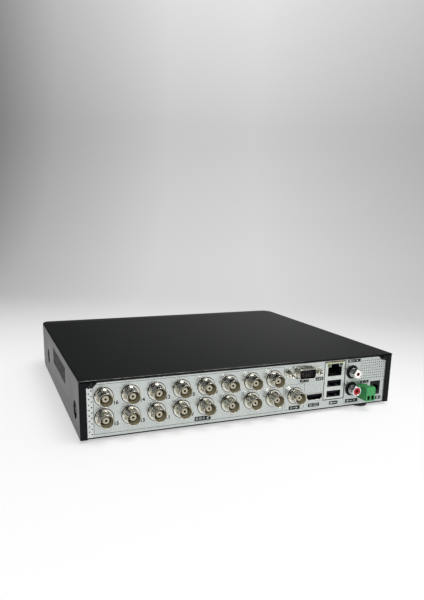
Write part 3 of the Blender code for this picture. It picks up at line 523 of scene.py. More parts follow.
def circuit_board(name="circuit_board"):
    """Solder mask over copper: fine parallel traces, blocks of pads and vias."""
    p = Paint(name)
    brick = p.node("ShaderNodeTexBrick")
    brick.inputs["Scale"].default_value = 190
    brick.inputs["Mortar Size"].default_value = 0.03
    brick.inputs["Color1"].default_value = (0.010, 0.085, 0.035, 1)
    brick.inputs["Color2"].default_value = (0.014, 0.120, 0.050, 1)
    brick.inputs["Mortar"].default_value = (0.030, 0.200, 0.085, 1)
    p.wire(p.stretch((1.0, 1.6, 1.0)), brick.inputs["Vector"])
    vias = p.cells(420)
    tone = p.mix(p.span(vias, 0.16, 0.20, 1.0, 0.0), brick.outputs["Color"], (0.62, 0.55, 0.32))
    areas = p.noise(34, 2, 0.5, seed=4.0)
    tone = p.mix(p.span(areas, 0.50, 0.56, 0.0, 0.55), tone, (0.006, 0.050, 0.022))
    p.colour(tone)
    p.rough(p.span(vias, 0.1, 0.4, 0.22, 0.42))
    p.bump(brick.outputs["Fac"], 0.2, 0.00004)
    return p.mat


def rubber_mat():
    p = Paint("rubber")
    fine = p.noise(1800, 4, 0.7, seed=1.0)
    p.colour(p.ramp(fine, [(0.3, (0.010, 0.010, 0.010)), (0.7, (0.026, 0.026, 0.025))]))
    p.rough(p.span(fine, 0.3, 0.7, 0.72, 0.9))
    p.bump(fine, 0.4, 0.00008)
    return p.mat


def smoked_window():
    """Dark red-smoked acrylic that hides the lamps when they are off."""
    p = Paint("smoked_window")
    haze = p.noise(120, 3, 0.5, seed=1.0)
    p.colour(p.ramp(haze, [(0.3, (0.012, 0.004, 0.005)), (0.7, (0.020, 0.007, 0.008))]))
    p.rough(p.span(haze, 0.3, 0.7, 0.05, 0.10))
    p.bump(haze, 0.05, 0.00002)
    p.put("Coat Weight", 0.5)
    p.put("Coat Roughness", 0.05)
    return p.mat


def cast_metal():
    p = Paint("cast_aluminium")
    coarse = p.noise(1300, 5, 0.7, seed=1.0)
    cloud = p.noise(40, 3, 0.5, seed=2.0)
    p.colour(p.ramp(cloud, [(0.3, (0.33, 0.34, 0.35)), (0.7, (0.45, 0.46, 0.47))]))
    p.rough(p.span(coarse, 0.3, 0.7, 0.42, 0.6))
    p.bump(coarse, 0.5, 0.0001)
    p.put("Metallic", 0.9)
    return p.mat


def disc_mat():
    """Polished platter: very slight rings around the spindle."""
    p = Paint("disc_surface")
    wave = p.node("ShaderNodeTexWave", wave_type="RINGS", rings_direction="Z")
    wave.inputs["Scale"].default_value = 900
    wave.inputs["Distortion"].default_value = 0.0
    shifted = p.node("ShaderNodeMapping")
    shifted.inputs["Location"].default_value = (0.0075, 0.0472, 0.0)
    p.wire(p.where, shifted.inputs["Vector"])
    p.wire(shifted.outputs["Vector"], wave.inputs["Vector"])
    p.colour(p.ramp(wave.outputs["Fac"], [(0.0, (0.70, 0.70, 0.72)), (1.0, (0.80, 0.80, 0.82))]))
    p.rough(p.span(wave.outputs["Fac"], 0.0, 1.0, 0.05, 0.09))
    p.put("Metallic", 1.0)
    return p.mat


black_paint = powder_coat("black_paint", (0.0058, 0.0070, 0.0065), 0.37, 0.58)
black_flange = powder_coat("black_paint_flange", (0.0065, 0.0070, 0.0078), 0.50, 0.08)
edge_highlight_mat = rear_edge_highlight()
black_inside = powder_coat("black_paint_tray", (0.020, 0.021, 0.021), 0.55)
panel_mat = silver_panel()
bezel_mat = plastic("bezel_plastic", (0.017, 0.017, 0.019), 0.38, 2200, 0.00006)
window_mat = smoked_window()
nickel = metal("nickel", (0.76, 0.745, 0.67), 0.19, 1200, 0.03, depth=0.0000015)
clamp_mat = metal("clamp_cage", (0.035, 0.040, 0.035), 0.5, 900, 0.15, metallic=0.6)
# painted shade: a dark colour for the nickel casting's front plate behind the panel holes and for the shield's inner
# spring fingers, which sit in shade
shade_metal = metal("casting_in_painted_shade", (0.10, 0.098, 0.09), 0.45, 900, 0.10, metallic=0.7)
tin = metal("tin_plate", (0.60, 0.635, 0.605), 0.30, 600, 0.05, depth=0.000008, metallic=0.82)
brass = metal("brass_spring", (0.42, 0.36, 0.16), 0.30, 900, 0.15)
# painted shade: olive-brown with darker patches stands in for the shade and dim reflections inside the socket barrels;
# the bayonet lugs take it too
bore_painted_shade = metal("nickel_bore_painted_shade", (0.33, 0.295, 0.195), 0.40, 900, 0.08, depth=0.000006, metallic=0.45, stain_and_shade=(0.24, 0.21, 0.12))
chrome = metal("chrome", (0.70, 0.70, 0.69), 0.20, 900, 0.02, depth=0.000003)
yellow_nickel = metal("yellowed_nickel", (0.80, 0.79, 0.71), 0.22, 900, 0.05, depth=0.000004, stain_and_shade=(0.72, 0.69, 0.55))
zinc = metal("zinc_plate", (0.74, 0.74, 0.71), 0.30, 500, 0.10, streak=(1.0, 1.0, 0.2), stain_and_shade=(0.48, 0.45, 0.36))
gold = metal("gold_contact", (0.83, 0.62, 0.28), 0.20, 1500, 0.08)
aluminium = metal("aluminium", (0.68, 0.69, 0.70), 0.32, 700, 0.05, streak=(0.15, 1.0, 1.0))
black_screw_mat = metal("black_screw", (0.035, 0.035, 0.037), 0.30, 1500, 0.20, metallic=0.9)
cream = plastic("cream_insulator", (0.415, 0.385, 0.300), 0.5, 1800, 0.00003, 0.05)
# painted shade: the walls of the insulator's socket hole and the contact's bore are coloured near black for the shade
# inside them
hole_painted_shade = plastic("contact_hole_painted_shade", (0.010, 0.008, 0.006), 0.6, 1800, 0.00003, 0.1)
dark_plastic = plastic("dark_plastic", (0.007, 0.007, 0.011), 0.55, 2400, 0.00004, 0.15, 0.10)
black_plastic = plastic("black_plastic", (0.007, 0.007, 0.008), 0.45, 2400, 0.00004, 0.15, 0.16)
# painted shade: the liners' hole walls and the bottom of the hole are coloured dark red for the shade inside them
liner_hole_painted_shade = plastic("liner_bore_painted_shade", (0.12, 0.012, 0.015), 0.5, 1800, 0.00003, 0.1, 0.1)
white_plastic = plastic("white_plastic", (0.80, 0.76, 0.72), 0.35, 1800, 0.00003, 0.04)
red_plastic = plastic("red_plastic", (0.40, 0.012, 0.020), 0.42, 1800, 0.00003, 0.10)
green_plastic = plastic("green_plastic", (0.040, 0.235, 0.075), 0.45, 1800, 0.00004, 0.10, 0.4)
dark_ink_and_shadow = plastic("panel_ink_dark_and_painted_shadow", (0.010, 0.011, 0.011), 0.6, 2600, 0.00001, 0.2, 0.2)
print_grey = plastic("panel_ink_grey", (0.13, 0.145, 0.14), 0.6, 2600, 0.00001, 0.1, 0.2)
print_white = plastic("panel_ink_light", (0.45, 0.48, 0.46), 0.5, 2600, 0.00001, 0.05, 0.2)
lamp_green = plastic("lamp_window_green", (0.028, 0.050, 0.016), 0.25, 1500, 0.00002, 0.1)
lamp_yellow = plastic("lamp_window_yellow", (0.11, 0.125, 0.034), 0.25, 1500, 0.00002, 0.1)
rubber = rubber_mat()
cast = cast_metal()
board = circuit_board()
disc = disc_mat()


# ----------------------------------------------------------------------------
# Top cover: one flat blank with holes, folded along its bends
# ----------------------------------------------------------------------------
def make_cover():
    bend, fold = 1.3, 0.9
    arc, farc = bend * math.pi / 2, fold * math.pi / 2
    flat = HALF_W - bend
    start = flat + arc                       # where the side becomes straight
    side = lambda z: start + (TOP_Z - bend - z)
    end = side(BASE_Z)
    line = REAR_Y - fold                     # where the rear flange starts to fold
    reach = lambda x: line + farc + (HALF_W - fold - x)
    half = [(end, FRONT_Y), (end, reach(122.6)), (side(39.1), reach(122.6)), (side(39.3), reach(122.4)), (side(39.3), reach(118.0)),
            (side(42.0), reach(115.4)), (side(42.68), reach(115.4)), (side(42.68), line - 0.3), (side(42.86), line - 0.3), (side(42.86), REAR_Y)]
    outline = half + [(-s, v) for s, v in reversed(half)]
    holes = []
    for sign in (1, -1):
        for y, z in DISHES:
            holes.append([(sign * side(z + 6.9 * math.sin(TAU * k / 48)), y + 6.9 * math.cos(TAU * k / 48)) for k in range(48)])
        y0, y1, z0, z1 = VENT
        columns = 20
        pitch = (y1 - y0) / columns
        for i in range(columns):
            y, w = y0 + (i + 0.5) * pitch, pitch * 0.36
            slot = rounded(rect(y - w, y + w, z0, z1), w * 0.75, 3)
            holes.append([(sign * side(z), y) for y, z in slot])
        holes.append([(sign * side(EAR_Z + 1.2 * math.sin(TAU * n / 14)), reach(EAR_X) + 1.2 * math.cos(TAU * n / 14)) for n in range(14)])
    bm = plate_mesh([outline] + holes, SHEET)
    stations = [flat + arc * k / 8 for k in range(9)]
    for s in stations:
        for sign in (1, -1):
            bmesh.ops.bisect_plane(bm, geom=bm.verts[:] + bm.edges[:] + bm.faces[:], plane_co=(sign * s, 0, 0), plane_no=(1, 0, 0), dist=1e-5)
    for k in range(7):
        bmesh.ops.bisect_plane(bm, geom=bm.verts[:] + bm.edges[:] + bm.faces[:], plane_co=(0, line + farc * k / 6, 0), plane_no=(0, 1, 0), dist=1e-5)
    edge = side(42.77)
    for v in bm.verts:
        s, y, w = v.co.x, v.co.y, SHEET / 2 - v.co.z          # w is the depth under the outer face
        sign = 1 if s > 0 else -1
        s = abs(s)
        deep = w
        # rear flange first, in the blank's own plane
        if s > edge and y > line:
            t = (y - line) / fold
            if t < math.pi / 2:
                y2, drop = line + (fold - w) * math.sin(t), fold - (fold - w) * math.cos(t)
            else:
                y2, drop = REAR_Y - w, fold + (y - line - farc)
            y, deep = y2, drop
        if s <= flat:
            x, z = s, TOP_Z - deep
        elif s < start:
            t = (s - flat) / bend
            x, z = flat + (bend - deep) * math.sin(t), TOP_Z - bend + (bend - deep) * math.cos(t)
        else:
            x, z = HALF_W - deep, TOP_Z - bend - (s - start)
        v.co = Vector((sign * x, y, z))
    rim = [e for e in bm.edges if all(abs(v.co.y - REAR_Y) < 1e-3 and abs(v.co.z - TOP_Z) < 1e-3 for v in e.verts)]
    bmesh.ops.bevel(bm, geom=rim, offset=0.30, segments=3, profile=0.5, affect="EDGES")
    # dishes are pressed in: open the hole walls and add the pressed cone
    doomed = []
    for f in bm.faces:
        c = f.calc_center_median()
        for y, z in DISHES:
            if all(abs(math.hypot(v.co.y - y, v.co.z - z) - 6.9) < 0.02 for v in f.verts) and abs(c.x) > 120:
                doomed.append(f)
    bmesh.ops.delete(bm, geom=list(set(doomed)), context="FACES_ONLY")
    profile = [(6.9, 0.0), (6.7, 0.03), (6.45, 0.14), (6.2, 0.36), (5.0, 1.55), (4.7, 1.85), (4.4, 2.03), (4.0, 2.1), (2.1, 2.1), (1.9, 2.25), (1.9, 2.9),
               (4.3, 2.9), (4.8, 2.75), (5.3, 2.4), (6.3, 1.35), (6.6, 1.0), (6.9, 0.8)]
    shape = Shape()
    bm.verts.index_update()
    bmesh.ops.remove_doubles(bm, verts=bm.verts, dist=1e-4)
    bm.verts.index_update()
    shape.add([v.co for v in bm.verts], [[v.index for v in f.verts] for f in bm.faces])
    shape.m = [1 if f.calc_center_median().y > REAR_Y - SHEET - 0.05 and f.calc_center_median().z < 43.88 else 0 for f in bm.faces]
    # material 2, the painted highlight, goes on the bevelled rear edge of the top
    for i, f in enumerate(bm.faces):
        c = f.calc_center_median()
        if c.y > REAR_Y - 0.31 and 43.88 <= c.z < 44.19 and abs(c.x) < 127.0:
            shape.m[i] = 2
    bm.free()
    for sign in (1, -1):
        for y, z in DISHES:
            verts, faces = [], []
            for r, d in profile:
                verts += [(sign * (HALF_W - d), y + r * math.cos(TAU * k / 48), z + r * math.sin(TAU * k / 48)) for k in range(48)]
            for row in range(len(profile) - 1):
                for k in range(48):
                    j = (k + 1) % 48
                    faces.append((row * 48 + k, row * 48 + j, row * 48 + 48 + j, row * 48 + 48 + k))
            shape.add(verts, faces, 1)
    mesh = mesh_of("cover_folded_sheet", shape, [black_paint, black_flange, edge_highlight_mat], 40.0, weld=2e-3)
    return piece("cover_folded_sheet", None, None, replaces="top_cover", mesh=mesh)


make_cover()


# ----------------------------------------------------------------------------
# Rear panel with all its openings, and the ink printed on it
# ----------------------------------------------------------------------------
def d_outline(cx, cz, wide, high, grow=0.0, steps=6):
    w, h = wide / 2 + grow, high / 2 + grow
    tuck = 2 * h * math.tan(math.radians(10))
    return rounded([(cx - w + tuck, cz - h), (cx + w - tuck, cz - h), (cx + w, cz + h), (cx - w, cz + h)], 2.0 + grow, steps)


def hdmi_outline(cx, cz, grow=0.0):
    w, h = 7.05 + grow, 2.35 + grow
    return rounded([(cx - w + 1.9, cz - h), (cx + w - 1.9, cz - h), (cx + w, cz - h + 2.1), (cx + w, cz + h),
                    (cx - w, cz + h), (cx - w, cz - h + 2.1)], 0.4 + 0.3 * max(grow, 0), 3)


def rj_outline(grow=0.0):
    a, b = 6.1 + grow, 3.4 + grow
    z0, z1 = 29.8 - grow, 36.7 + grow
    return [(LAN_X - a, z0), (LAN_X + a, z0), (LAN_X + a, z1), (LAN_X + b, z1), (LAN_X + b, 39.2 + grow),
            (LAN_X - b, 39.2 + grow), (LAN_X - b, z1), (LAN_X - a, z1)]


def make_panel():
    outer = rounded(rect(-PANEL_HALF, PANEL_HALF, PANEL_BOTTOM, PANEL_TOP), 0.8, 3)
    holes = [ring(x, z, BNC_HOLE_R, 48) for x in BNC_X for z in BNC_Z]
    holes.append(ring(OUT_X, OUT_Z, BNC_HOLE_R, 48))
    holes.append(d_outline(VGA_X, VGA_Z, 17.0, 8.4, 0.7))
    holes += [ring(VGA_X + dx, VGA_Z, 1.9, 20) for dx in (-12.5, 12.5)]
    holes.append(hdmi_outline(HDMI_X, HDMI_Z, 0.8))
    holes.append(rounded(rect(LAN_X - LAN_W / 2 - 0.4, LAN_X + LAN_W / 2 + 0.4, LAN_Z0 - 0.4, LAN_Z1 + 0.4), 0.3, 2))
    holes += [ring(RCA_X, z, 5.7, 40) for z in RCA_Z]
    holes.append(rounded(rect(PLUG_X - 4.95, PLUG_X + 4.95, 9.4, 19.9), 0.4, 3))
    holes.append(rounded(rect(DC_X - 5.0, DC_X + 5.0, DC_Z - 5.8, DC_Z + 5.9), 0.5, 3))
    holes += [ring(s * EAR_X, EAR_Z, 1.1, 14) for s in (1, -1)]
    for i in range(9):                       # left strip: two staggered columns
        holes.append(ring(121.0, 7.75 + 3.85 * i, 0.50, 12))
        holes.append(ring(119.3, 5.85 + 3.85 * i, 0.50, 12))
    for i in range(11):                      # vent field over the power inlet
        for k in range(8):
            holes.append(ring(-99.4 - 2.1 * i, 24.8 + 2.1 * k, 0.46, 8))
    shape = Shape()
    plate(shape, [outer] + holes, PANEL_IN, PANEL_Y)
    return piece("rear_panel_plate", shape, [panel_mat], replaces="rear_panel", angle=25)


make_panel()

# folded lip of the tray under the panel, in the darker flange paint as painted shade, and a dark rubber strip behind
# the gap between panel and cover, as painted shade for that gap
edging = Shape()
cuboid(edging, -125.9, 125.9, PANEL_IN + 0.1, PANEL_Y + 0.05, BASE_Z, PANEL_BOTTOM - 0.05, 0.12)
piece("tray_lip", edging, [black_flange])
edging = Shape()
cuboid(edging, -116.0, 116.0, PANEL_IN - 0.8, PANEL_IN - 0.1, 41.4, 42.8, 0.1)
piece("gap_shade_strip", edging, [rubber])

INK0, INK1 = PANEL_Y - 0.02, PANEL_Y + 0.035


def frame_line(shape, x0, x1, z0, z1, w=0.32, r=0.8, mat=0):
    outer = rounded(rect(x0, x1, z0, z1), r, 4)
    plate(shape, [outer, inset(outer, w)], INK0, INK1, mat=mat)


def badge(shape, light, x, z, w, h=3.3):
    """Dark rounded plate of a label."""
    prism(shape, rounded(rect(x - w / 2, x + w / 2, z - h / 2, z + h / 2), 0.6, 3), INK0, INK1)


def make_print():
    dark, light, grey = Shape(), Shape(), Shape()
    a, b = PANEL_Y + 0.02, PANEL_Y + 0.06

    def bar(x0, x1, z0, z1):
        prism(light, rect(min(x0, x1), max(x0, x1), z0, z1), a, b)

    def arrow(x, z, way, h=1.5):
        """Triangle that points left (+X) or right."""
        prism(light, [(x - way * h * 0.6, z - h * 0.7), (x + way * h * 0.7, z), (x - way * h * 0.6, z + h * 0.7)], a, b)

    def socket(x, z, r=1.05):
        plate(light, [ring(x, z, r, 20), ring(x, z, r * 0.62, 20)], a, b)

    def screen(x, z, w=2.6, h=1.7):
        outer = rect(x - w / 2, x + w / 2, z - h / 2 + 0.3, z + h / 2 + 0.3)
        plate(light, [outer, inset(outer, 0.3)], a, b)
        bar(x - 0.6, x + 0.6, z - h / 2 - 0.25, z - h / 2 + 0.05)

    # the group outlines
    frame_line(grey, -27.2, 118.2, 5.4, 40.9, 0.34, 1.0)
    frame_line(grey, -45.9, -28.6, 5.6, 26.0, 0.26, 0.8)
    frame_line(grey, -97.9, -83.3, 5.0, 41.8, 0.22, 0.6)
    # video inputs: sockets and an arrow that goes in
    badge(dark, light, 39.2, 7.7, 12.6)
    for k in range(3):
        socket(43.6 - 2.6 * k, 7.7, 0.9)
    arrow(35.6, 7.7, 1)
    # video output
    badge(dark, light, -37.5, 6.9, 9.8, 3.0)
    socket(-35.0, 6.9, 0.9)
    bar(-38.4, -36.5, 6.7, 7.1)
    arrow(-39.7, 6.9, -1)
    # monitor outputs
    badge(dark, light, -45.3, 28.2, 8.0, 2.8)
    screen(-43.6, 28.2, 2.4, 1.3)
    bar(-48.4, -46.0, 28.7, 29.0)
    bar(-48.4, -46.0, 27.5, 27.8)
    badge(dark, light, -55.0, 7.2, 10.2, 3.0)
    screen(-52.4, 7.1)
    bar(-58.9, -55.0, 7.7, 8.1)
    bar(-58.9, -55.0, 6.4, 6.8)
    # network: three linked boxes
    badge(dark, light, -59.0, 28.3, 7.0, 2.7)
    for dx in (-2.0, 0.0, 2.0):
        bar(-59.0 + dx - 0.5, -59.0 + dx + 0.5, 27.5, 28.4)
    bar(-61.2, -56.8, 28.8, 29.05)
    # painted shadow: a dark ink line round the block, along its right side and foot
    prism(dark, rect(-82.95, -82.45, 10.0, 41.3), INK0, INK1)
    prism(dark, rect(-82.45, -63.2, 9.75, 10.15), INK0, INK1)
    # serial sockets: a plug seen from the side
    badge(dark, light, -73.6, 7.0, 8.0, 2.9)
    bar(-72.6, -70.9, 6.3, 7.7)
    bar(-76.6, -73.2, 6.8, 7.2)
    # audio: loudspeaker in and out
    for z, way in ((40.3, 1), (7.0, -1)):
        badge(dark, light, -90.9, z, 12.2, 2.4 if z > 20 else 3.0)
        prism(light, [(-86.4, z - 0.4), (-86.4, z + 0.4), (-87.0, z + 0.4), (-87.8, z + 0.9), (-87.8, z - 0.9), (-87.0, z - 0.4)], a, b)
        bar(-91.2, -88.8, z - 0.18, z + 0.18)
        arrow(-93.6, z, way, 1.0)
    # terminal poles: plus, minus
    badge(dark, light, -102.5, 21.8, 8.4, 2.3)
    bar(-101.3, -99.7, 21.65, 21.95)
    bar(-100.65, -100.35, 21.0, 22.6)
    bar(-105.2, -103.6, 21.65, 21.95)
    # power inlet: ring with a dot
    badge(dark, light, -116.9, 6.8, 6.4, 2.8)
    socket(-116.9, 6.8, 1.0)
    prism(light, ring(-116.9, 6.8, 0.35, 12), a, b)
    bar(-114.9, -114.3, 6.6, 7.0)
    bar(-119.5, -118.9, 6.6, 7.0)
    # channel numbers, each at the lower right of its socket
    for column, x in enumerate(BNC_X):
        for row, z in enumerate(BNC_Z):
            glyphs(dark, str(16 - 2 * column - row), x - 8.2, z - 5.2, 3.7, INK0, INK1)
    piece("print_dark_and_painted_shadow", dark, [dark_ink_and_shadow])
    piece("print_light", light, [print_white])
    piece("print_outlines", grey, [print_grey])


make_print()


# ----------------------------------------------------------------------------
# Bayonet sockets
# ----------------------------------------------------------------------------
def bnc_metal(shape, x, z, mat=0, bore=1):
    P = PANEL_Y
    outer = [(4.1, 99.0), (6.2, 99.0), (6.25, 99.1), (6.25, P + 0.42), (6.15, P + 0.5), (5.35, P + 0.52), (5.25, P + 0.6), (5.22, P + 1.5), (5.1, P + 1.65),
             (4.9, P + 1.7), (4.85, P + 1.8), (4.85, RIM_Y - 0.35), (4.78, RIM_Y - 0.10), (4.66, RIM_Y),
             (4.50, RIM_Y), (4.40, RIM_Y - 0.12), (4.35, RIM_Y - 0.4)]
    inner = [(4.22, RIM_Y - 4.2), (3.95, RIM_Y - 4.5), (3.95, P + 0.9), (3.8, P + 0.75), (2.9, P + 0.7), (2.85, P + 0.6), (2.85, 99.0), (4.1, 99.0)]
    profile = outer + inner
    mats = [mat] * (len(outer) - 1) + [bore] * len(inner)
    lathe(shape, profile, "Y", (x, z), 56, mats=mats)
    # the bayonet lugs take the bore's painted-shade colour
    for sign in (1, -1):
        a, b = (4.6, 5.8) if sign > 0 else (-5.8, -4.6)
        dome = [(0, a), (1.0, a), (1.0, b - 0.2), (0.8, b), (0, b)] if sign > 0 else [(0, b), (1.0, b), (1.0, a + 0.2), (0.8, a), (0, a)]
        dome = [(r, x + s) for r, s in dome]
        lathe(shape, dome, "X", (RIM_Y - 3.4, z), 20, bore)


def bnc_nose(shape, x, z):
    P = PANEL_Y
    profile = [(0, 96.0), (2.4, 96.0), (2.4, RIM_Y - 3.35), (2.3, RIM_Y - 3.0), (2.05, RIM_Y - 2.78), (1.0, RIM_Y - 2.72), (0.86, RIM_Y - 2.85), (0.84, RIM_Y - 4.2), (1.05, RIM_Y - 4.3), (1.05, P + 2.0), (0, P + 2.0)]
    # the hole walls take material 1, the painted shade
    lathe(shape, profile, "Y", (x, z), 40, mats=[0] * 6 + [1, 1, 1, 1])


def bnc_contact(shape, x, z):
    P = PANEL_Y
    profile = [(1.0, P + 2.1), (1.0, RIM_Y - 4.7), (0.9, RIM_Y - 4.5), (0.62, RIM_Y - 4.5), (0.55, RIM_Y - 4.7), (0.55, P + 2.1), (1.0, P + 2.1)]
    # the bore of the contact takes material 1, the painted shade
    lathe(shape, profile, "Y", (x, z), 24, mats=[0, 0, 0, 0, 1, 0])


def make_sockets():
    x = BNC_X[0]
    body, nose, tip = Shape(), Shape(), Shape()
    # die-cast block behind the panel, open at the back
    outer = rounded(rect(x - 6.9, x + 6.9, SEAT_Z, 39.4), 0.6, 3)
    hole = rounded(rect(x - 5.4, x + 5.4, SEAT_Z + 1.4, 38.0), 0.4, 3)
    plate(body, [outer, hole], 86.0, 98.4)
    # the front plate takes material 2, the casting's painted shade
    plate(body, [outer] + [ring(x, z, 2.85, 32) for z in BNC_Z], 98.4, PANEL_IN - GAP, mat=2)
    cuboid(nose, x - 4.6, x + 4.6, 87.0, 98.0, SEAT_Z + 2.0, 36.8, 0.3)
    for z in BNC_Z:
        bnc_metal(body, x, z)
        bnc_nose(nose, x, z)
        bnc_contact(tip, x, z)
    meshes = [mesh_of("socket_pair_casting", body, [nickel, bore_painted_shade, shade_metal], 30), mesh_of("socket_pair_insulator", nose, [cream, hole_painted_shade], 30),
              mesh_of("socket_pair_contact", tip, [gold, hole_painted_shade], 30)]
    for i, bx in enumerate(BNC_X):
        n = i + 1
        shift = (bx - x, 0, 0)
        piece("socket_pair_%d" % n, None, None, replaces="bnc_pair_%d" % n, mesh=meshes[0], shift=shift)
        piece("socket_insulator_%d" % n, None, None, replaces="bnc_insulator_%d" % n, mesh=meshes[1], shift=shift)
        piece("socket_contact_%d" % n, None, None, mesh=meshes[2], shift=shift)
    body, nose, tip = Shape(), Shape(), Shape()
    outer = rounded(rect(OUT_X - 6.9, OUT_X + 6.9, SEAT_Z, 23.8), 0.6, 3)
    plate(body, [outer, rounded(rect(OUT_X - 5.4, OUT_X + 5.4, SEAT_Z + 1.4, 22.4), 0.4, 3)], 88.0, 98.4)
    plate(body, [outer, ring(OUT_X, OUT_Z, 2.85, 32)], 98.4, PANEL_IN - GAP, mat=2)
    cuboid(nose, OUT_X - 4.6, OUT_X + 4.6, 89.0, 98.0, SEAT_Z + 2.0, 21.6, 0.3)
    bnc_metal(body, OUT_X, OUT_Z)
    bnc_nose(nose, OUT_X, OUT_Z)
    bnc_contact(tip, OUT_X, OUT_Z)
    piece("video_out_socket", body, [nickel, bore_painted_shade, shade_metal], replaces="video_out_bnc", angle=30)
    piece("video_out_nose", nose, [cream, hole_painted_shade], replaces="video_out_insulator", angle=30)
    piece("video_out_contact", tip, [gold, hole_painted_shade], angle=30)


make_sockets()


# ----------------------------------------------------------------------------
# Analogue monitor connector
# ----------------------------------------------------------------------------
def make_monitor():
    shell = Shape()
    back = PANEL_IN - GAP - 1.0
    flange = rounded(rect(VGA_X - 15.4, VGA_X + 15.4, VGA_Z - 6.2, VGA_Z + 6.2), 1.0, 4)
    plate(shell, [flange, d_outline(VGA_X, VGA_Z, 14.9, 6.8)] + [ring(VGA_X + dx, VGA_Z, 1.8, 20) for dx in (-12.5, 12.5)], back, PANEL_IN - GAP)
    # hood: a deep-drawn wall with a rolled root and a rounded rim
    rings = [(PANEL_IN - GAP - 0.4, 16.3, 8.0, 1.0), (PANEL_Y + 0.1, 16.3, 8.0, 0.45), (PANEL_Y + 0.6, 16.3, 8.0, 0.12), (PANEL_Y + 1.0, 16.3, 8.0, 0.0), (VGA_RIM - 0.25, 16.3, 8.0, 0.0),
             (VGA_RIM, 16.3, 8.0, -0.18), (VGA_RIM, 16.3, 8.0, -0.36), (VGA_RIM - 0.2, 16.3, 8.0, -0.5), (PANEL_IN - GAP - 0.8, 16.3, 8.0, -0.5), (PANEL_IN - GAP - 0.8, 16.3, 8.0, 1.0)]
    base = len(shell.v)
    loops = []
    for s, w, h, g in rings:
        loop = d_outline(VGA_X, VGA_Z, w, h, g, 6)
        loops.append(loop)
        shell.v += [(u, s, v) for u, v in loop]
    n = len(loops[0])
    for row in range(len(rings)):
        nxt = (row + 1) % len(rings)
        for k in range(n):
            j = (k + 1) % n
            shell.f.append((base + row * n + k, base + row * n + j, base + nxt * n + j, base + nxt * n + k))
            shell.m.append(0)
    piece("monitor_shell", shell, [yellow_nickel], replaces="vga_shell", angle=30)

    insert = Shape()
    holes = []
    for row, shift in ((1, 0.0), (0, 0.575), (-1, 0.0)):
        for k in range(5):
            holes.append(ring(VGA_X + (k - 2) * 2.3 + shift, VGA_Z + row * 1.95, 0.52, 14))
    face = d_outline(VGA_X, VGA_Z, 14.3, 6.2)
    plate(insert, [face] + holes, VGA_RIM - 4.0, VGA_RIM - 2.2)
    prism(insert, face, PANEL_IN - 2.0, VGA_RIM - 4.0)
    cuboid(insert, VGA_X - 9.5, VGA_X + 9.5, 86.0, PANEL_IN - GAP - 1.0 - GAP, VGA_Z - 5.8, VGA_Z + 5.8, 0.3)
    cuboid(insert, VGA_X - 8.5, VGA_X + 8.5, 80.0, 86.6, SEAT_Z, VGA_Z + 5.8, 0.3)
    for cx, cz in [(sum(p[0] for p in h) / 14, sum(p[1] for p in h) / 14) for h in holes]:
        lathe(insert, [(0.5, VGA_RIM - 3.9), (0.5, VGA_RIM - 2.6), (0.3, VGA_RIM - 2.6), (0.3, VGA_RIM - 3.9), (0.5, VGA_RIM - 3.9)], "Y", (cx, cz), 10, mat=1)
    piece("monitor_insert", insert, [dark_plastic, gold], replaces="vga_insert", angle=30)

    for n, dx in ((1, 12.5), (2, -12.5)):
        screw = Shape()
        P = PANEL_Y + GAP
        prof = [(0, 97.5), (1.2, 97.5), (1.4, 97.7), (1.4, P + 0.4), (0, P + 0.4)]
        lathe(screw, prof, "Y", (VGA_X + dx, VGA_Z), 20)
        hexa = ring(VGA_X + dx, VGA_Z, 2.85, 6, math.radians(15 if n == 1 else 40))
        thread = ring(VGA_X + dx, VGA_Z, 1.45, 18)
        plate(screw, [hexa, thread], P + 0.3, P + 4.45)
        lathe(screw, [(1.45, P + 4.4), (2.45, P + 4.4), (2.3, P + 4.75), (1.75, P + 4.88), (1.45, P + 4.6), (1.45, P + 4.4)], "Y", (VGA_X + dx, VGA_Z), 24)
        lathe(screw, [(1.5, P), (3.35, P), (3.45, P + 0.1), (3.4, P + 0.35), (1.5, P + 0.4), (1.5, P)], "Y", (VGA_X + dx, VGA_Z), 32)
        for k in range(6):     # thread turns in the bore
            s = P + 1.2 + 0.55 * k
            lathe(screw, [(1.46, s), (1.22, s + 0.2), (1.46, s + 0.4), (1.46, s)], "Y", (VGA_X + dx, VGA_Z), 18, mat=0)
        piece("monitor_jack_screw_%d" % n, screw, [yellow_nickel], replaces="vga_jack_screw_%d" % n, angle=28)


make_monitor()


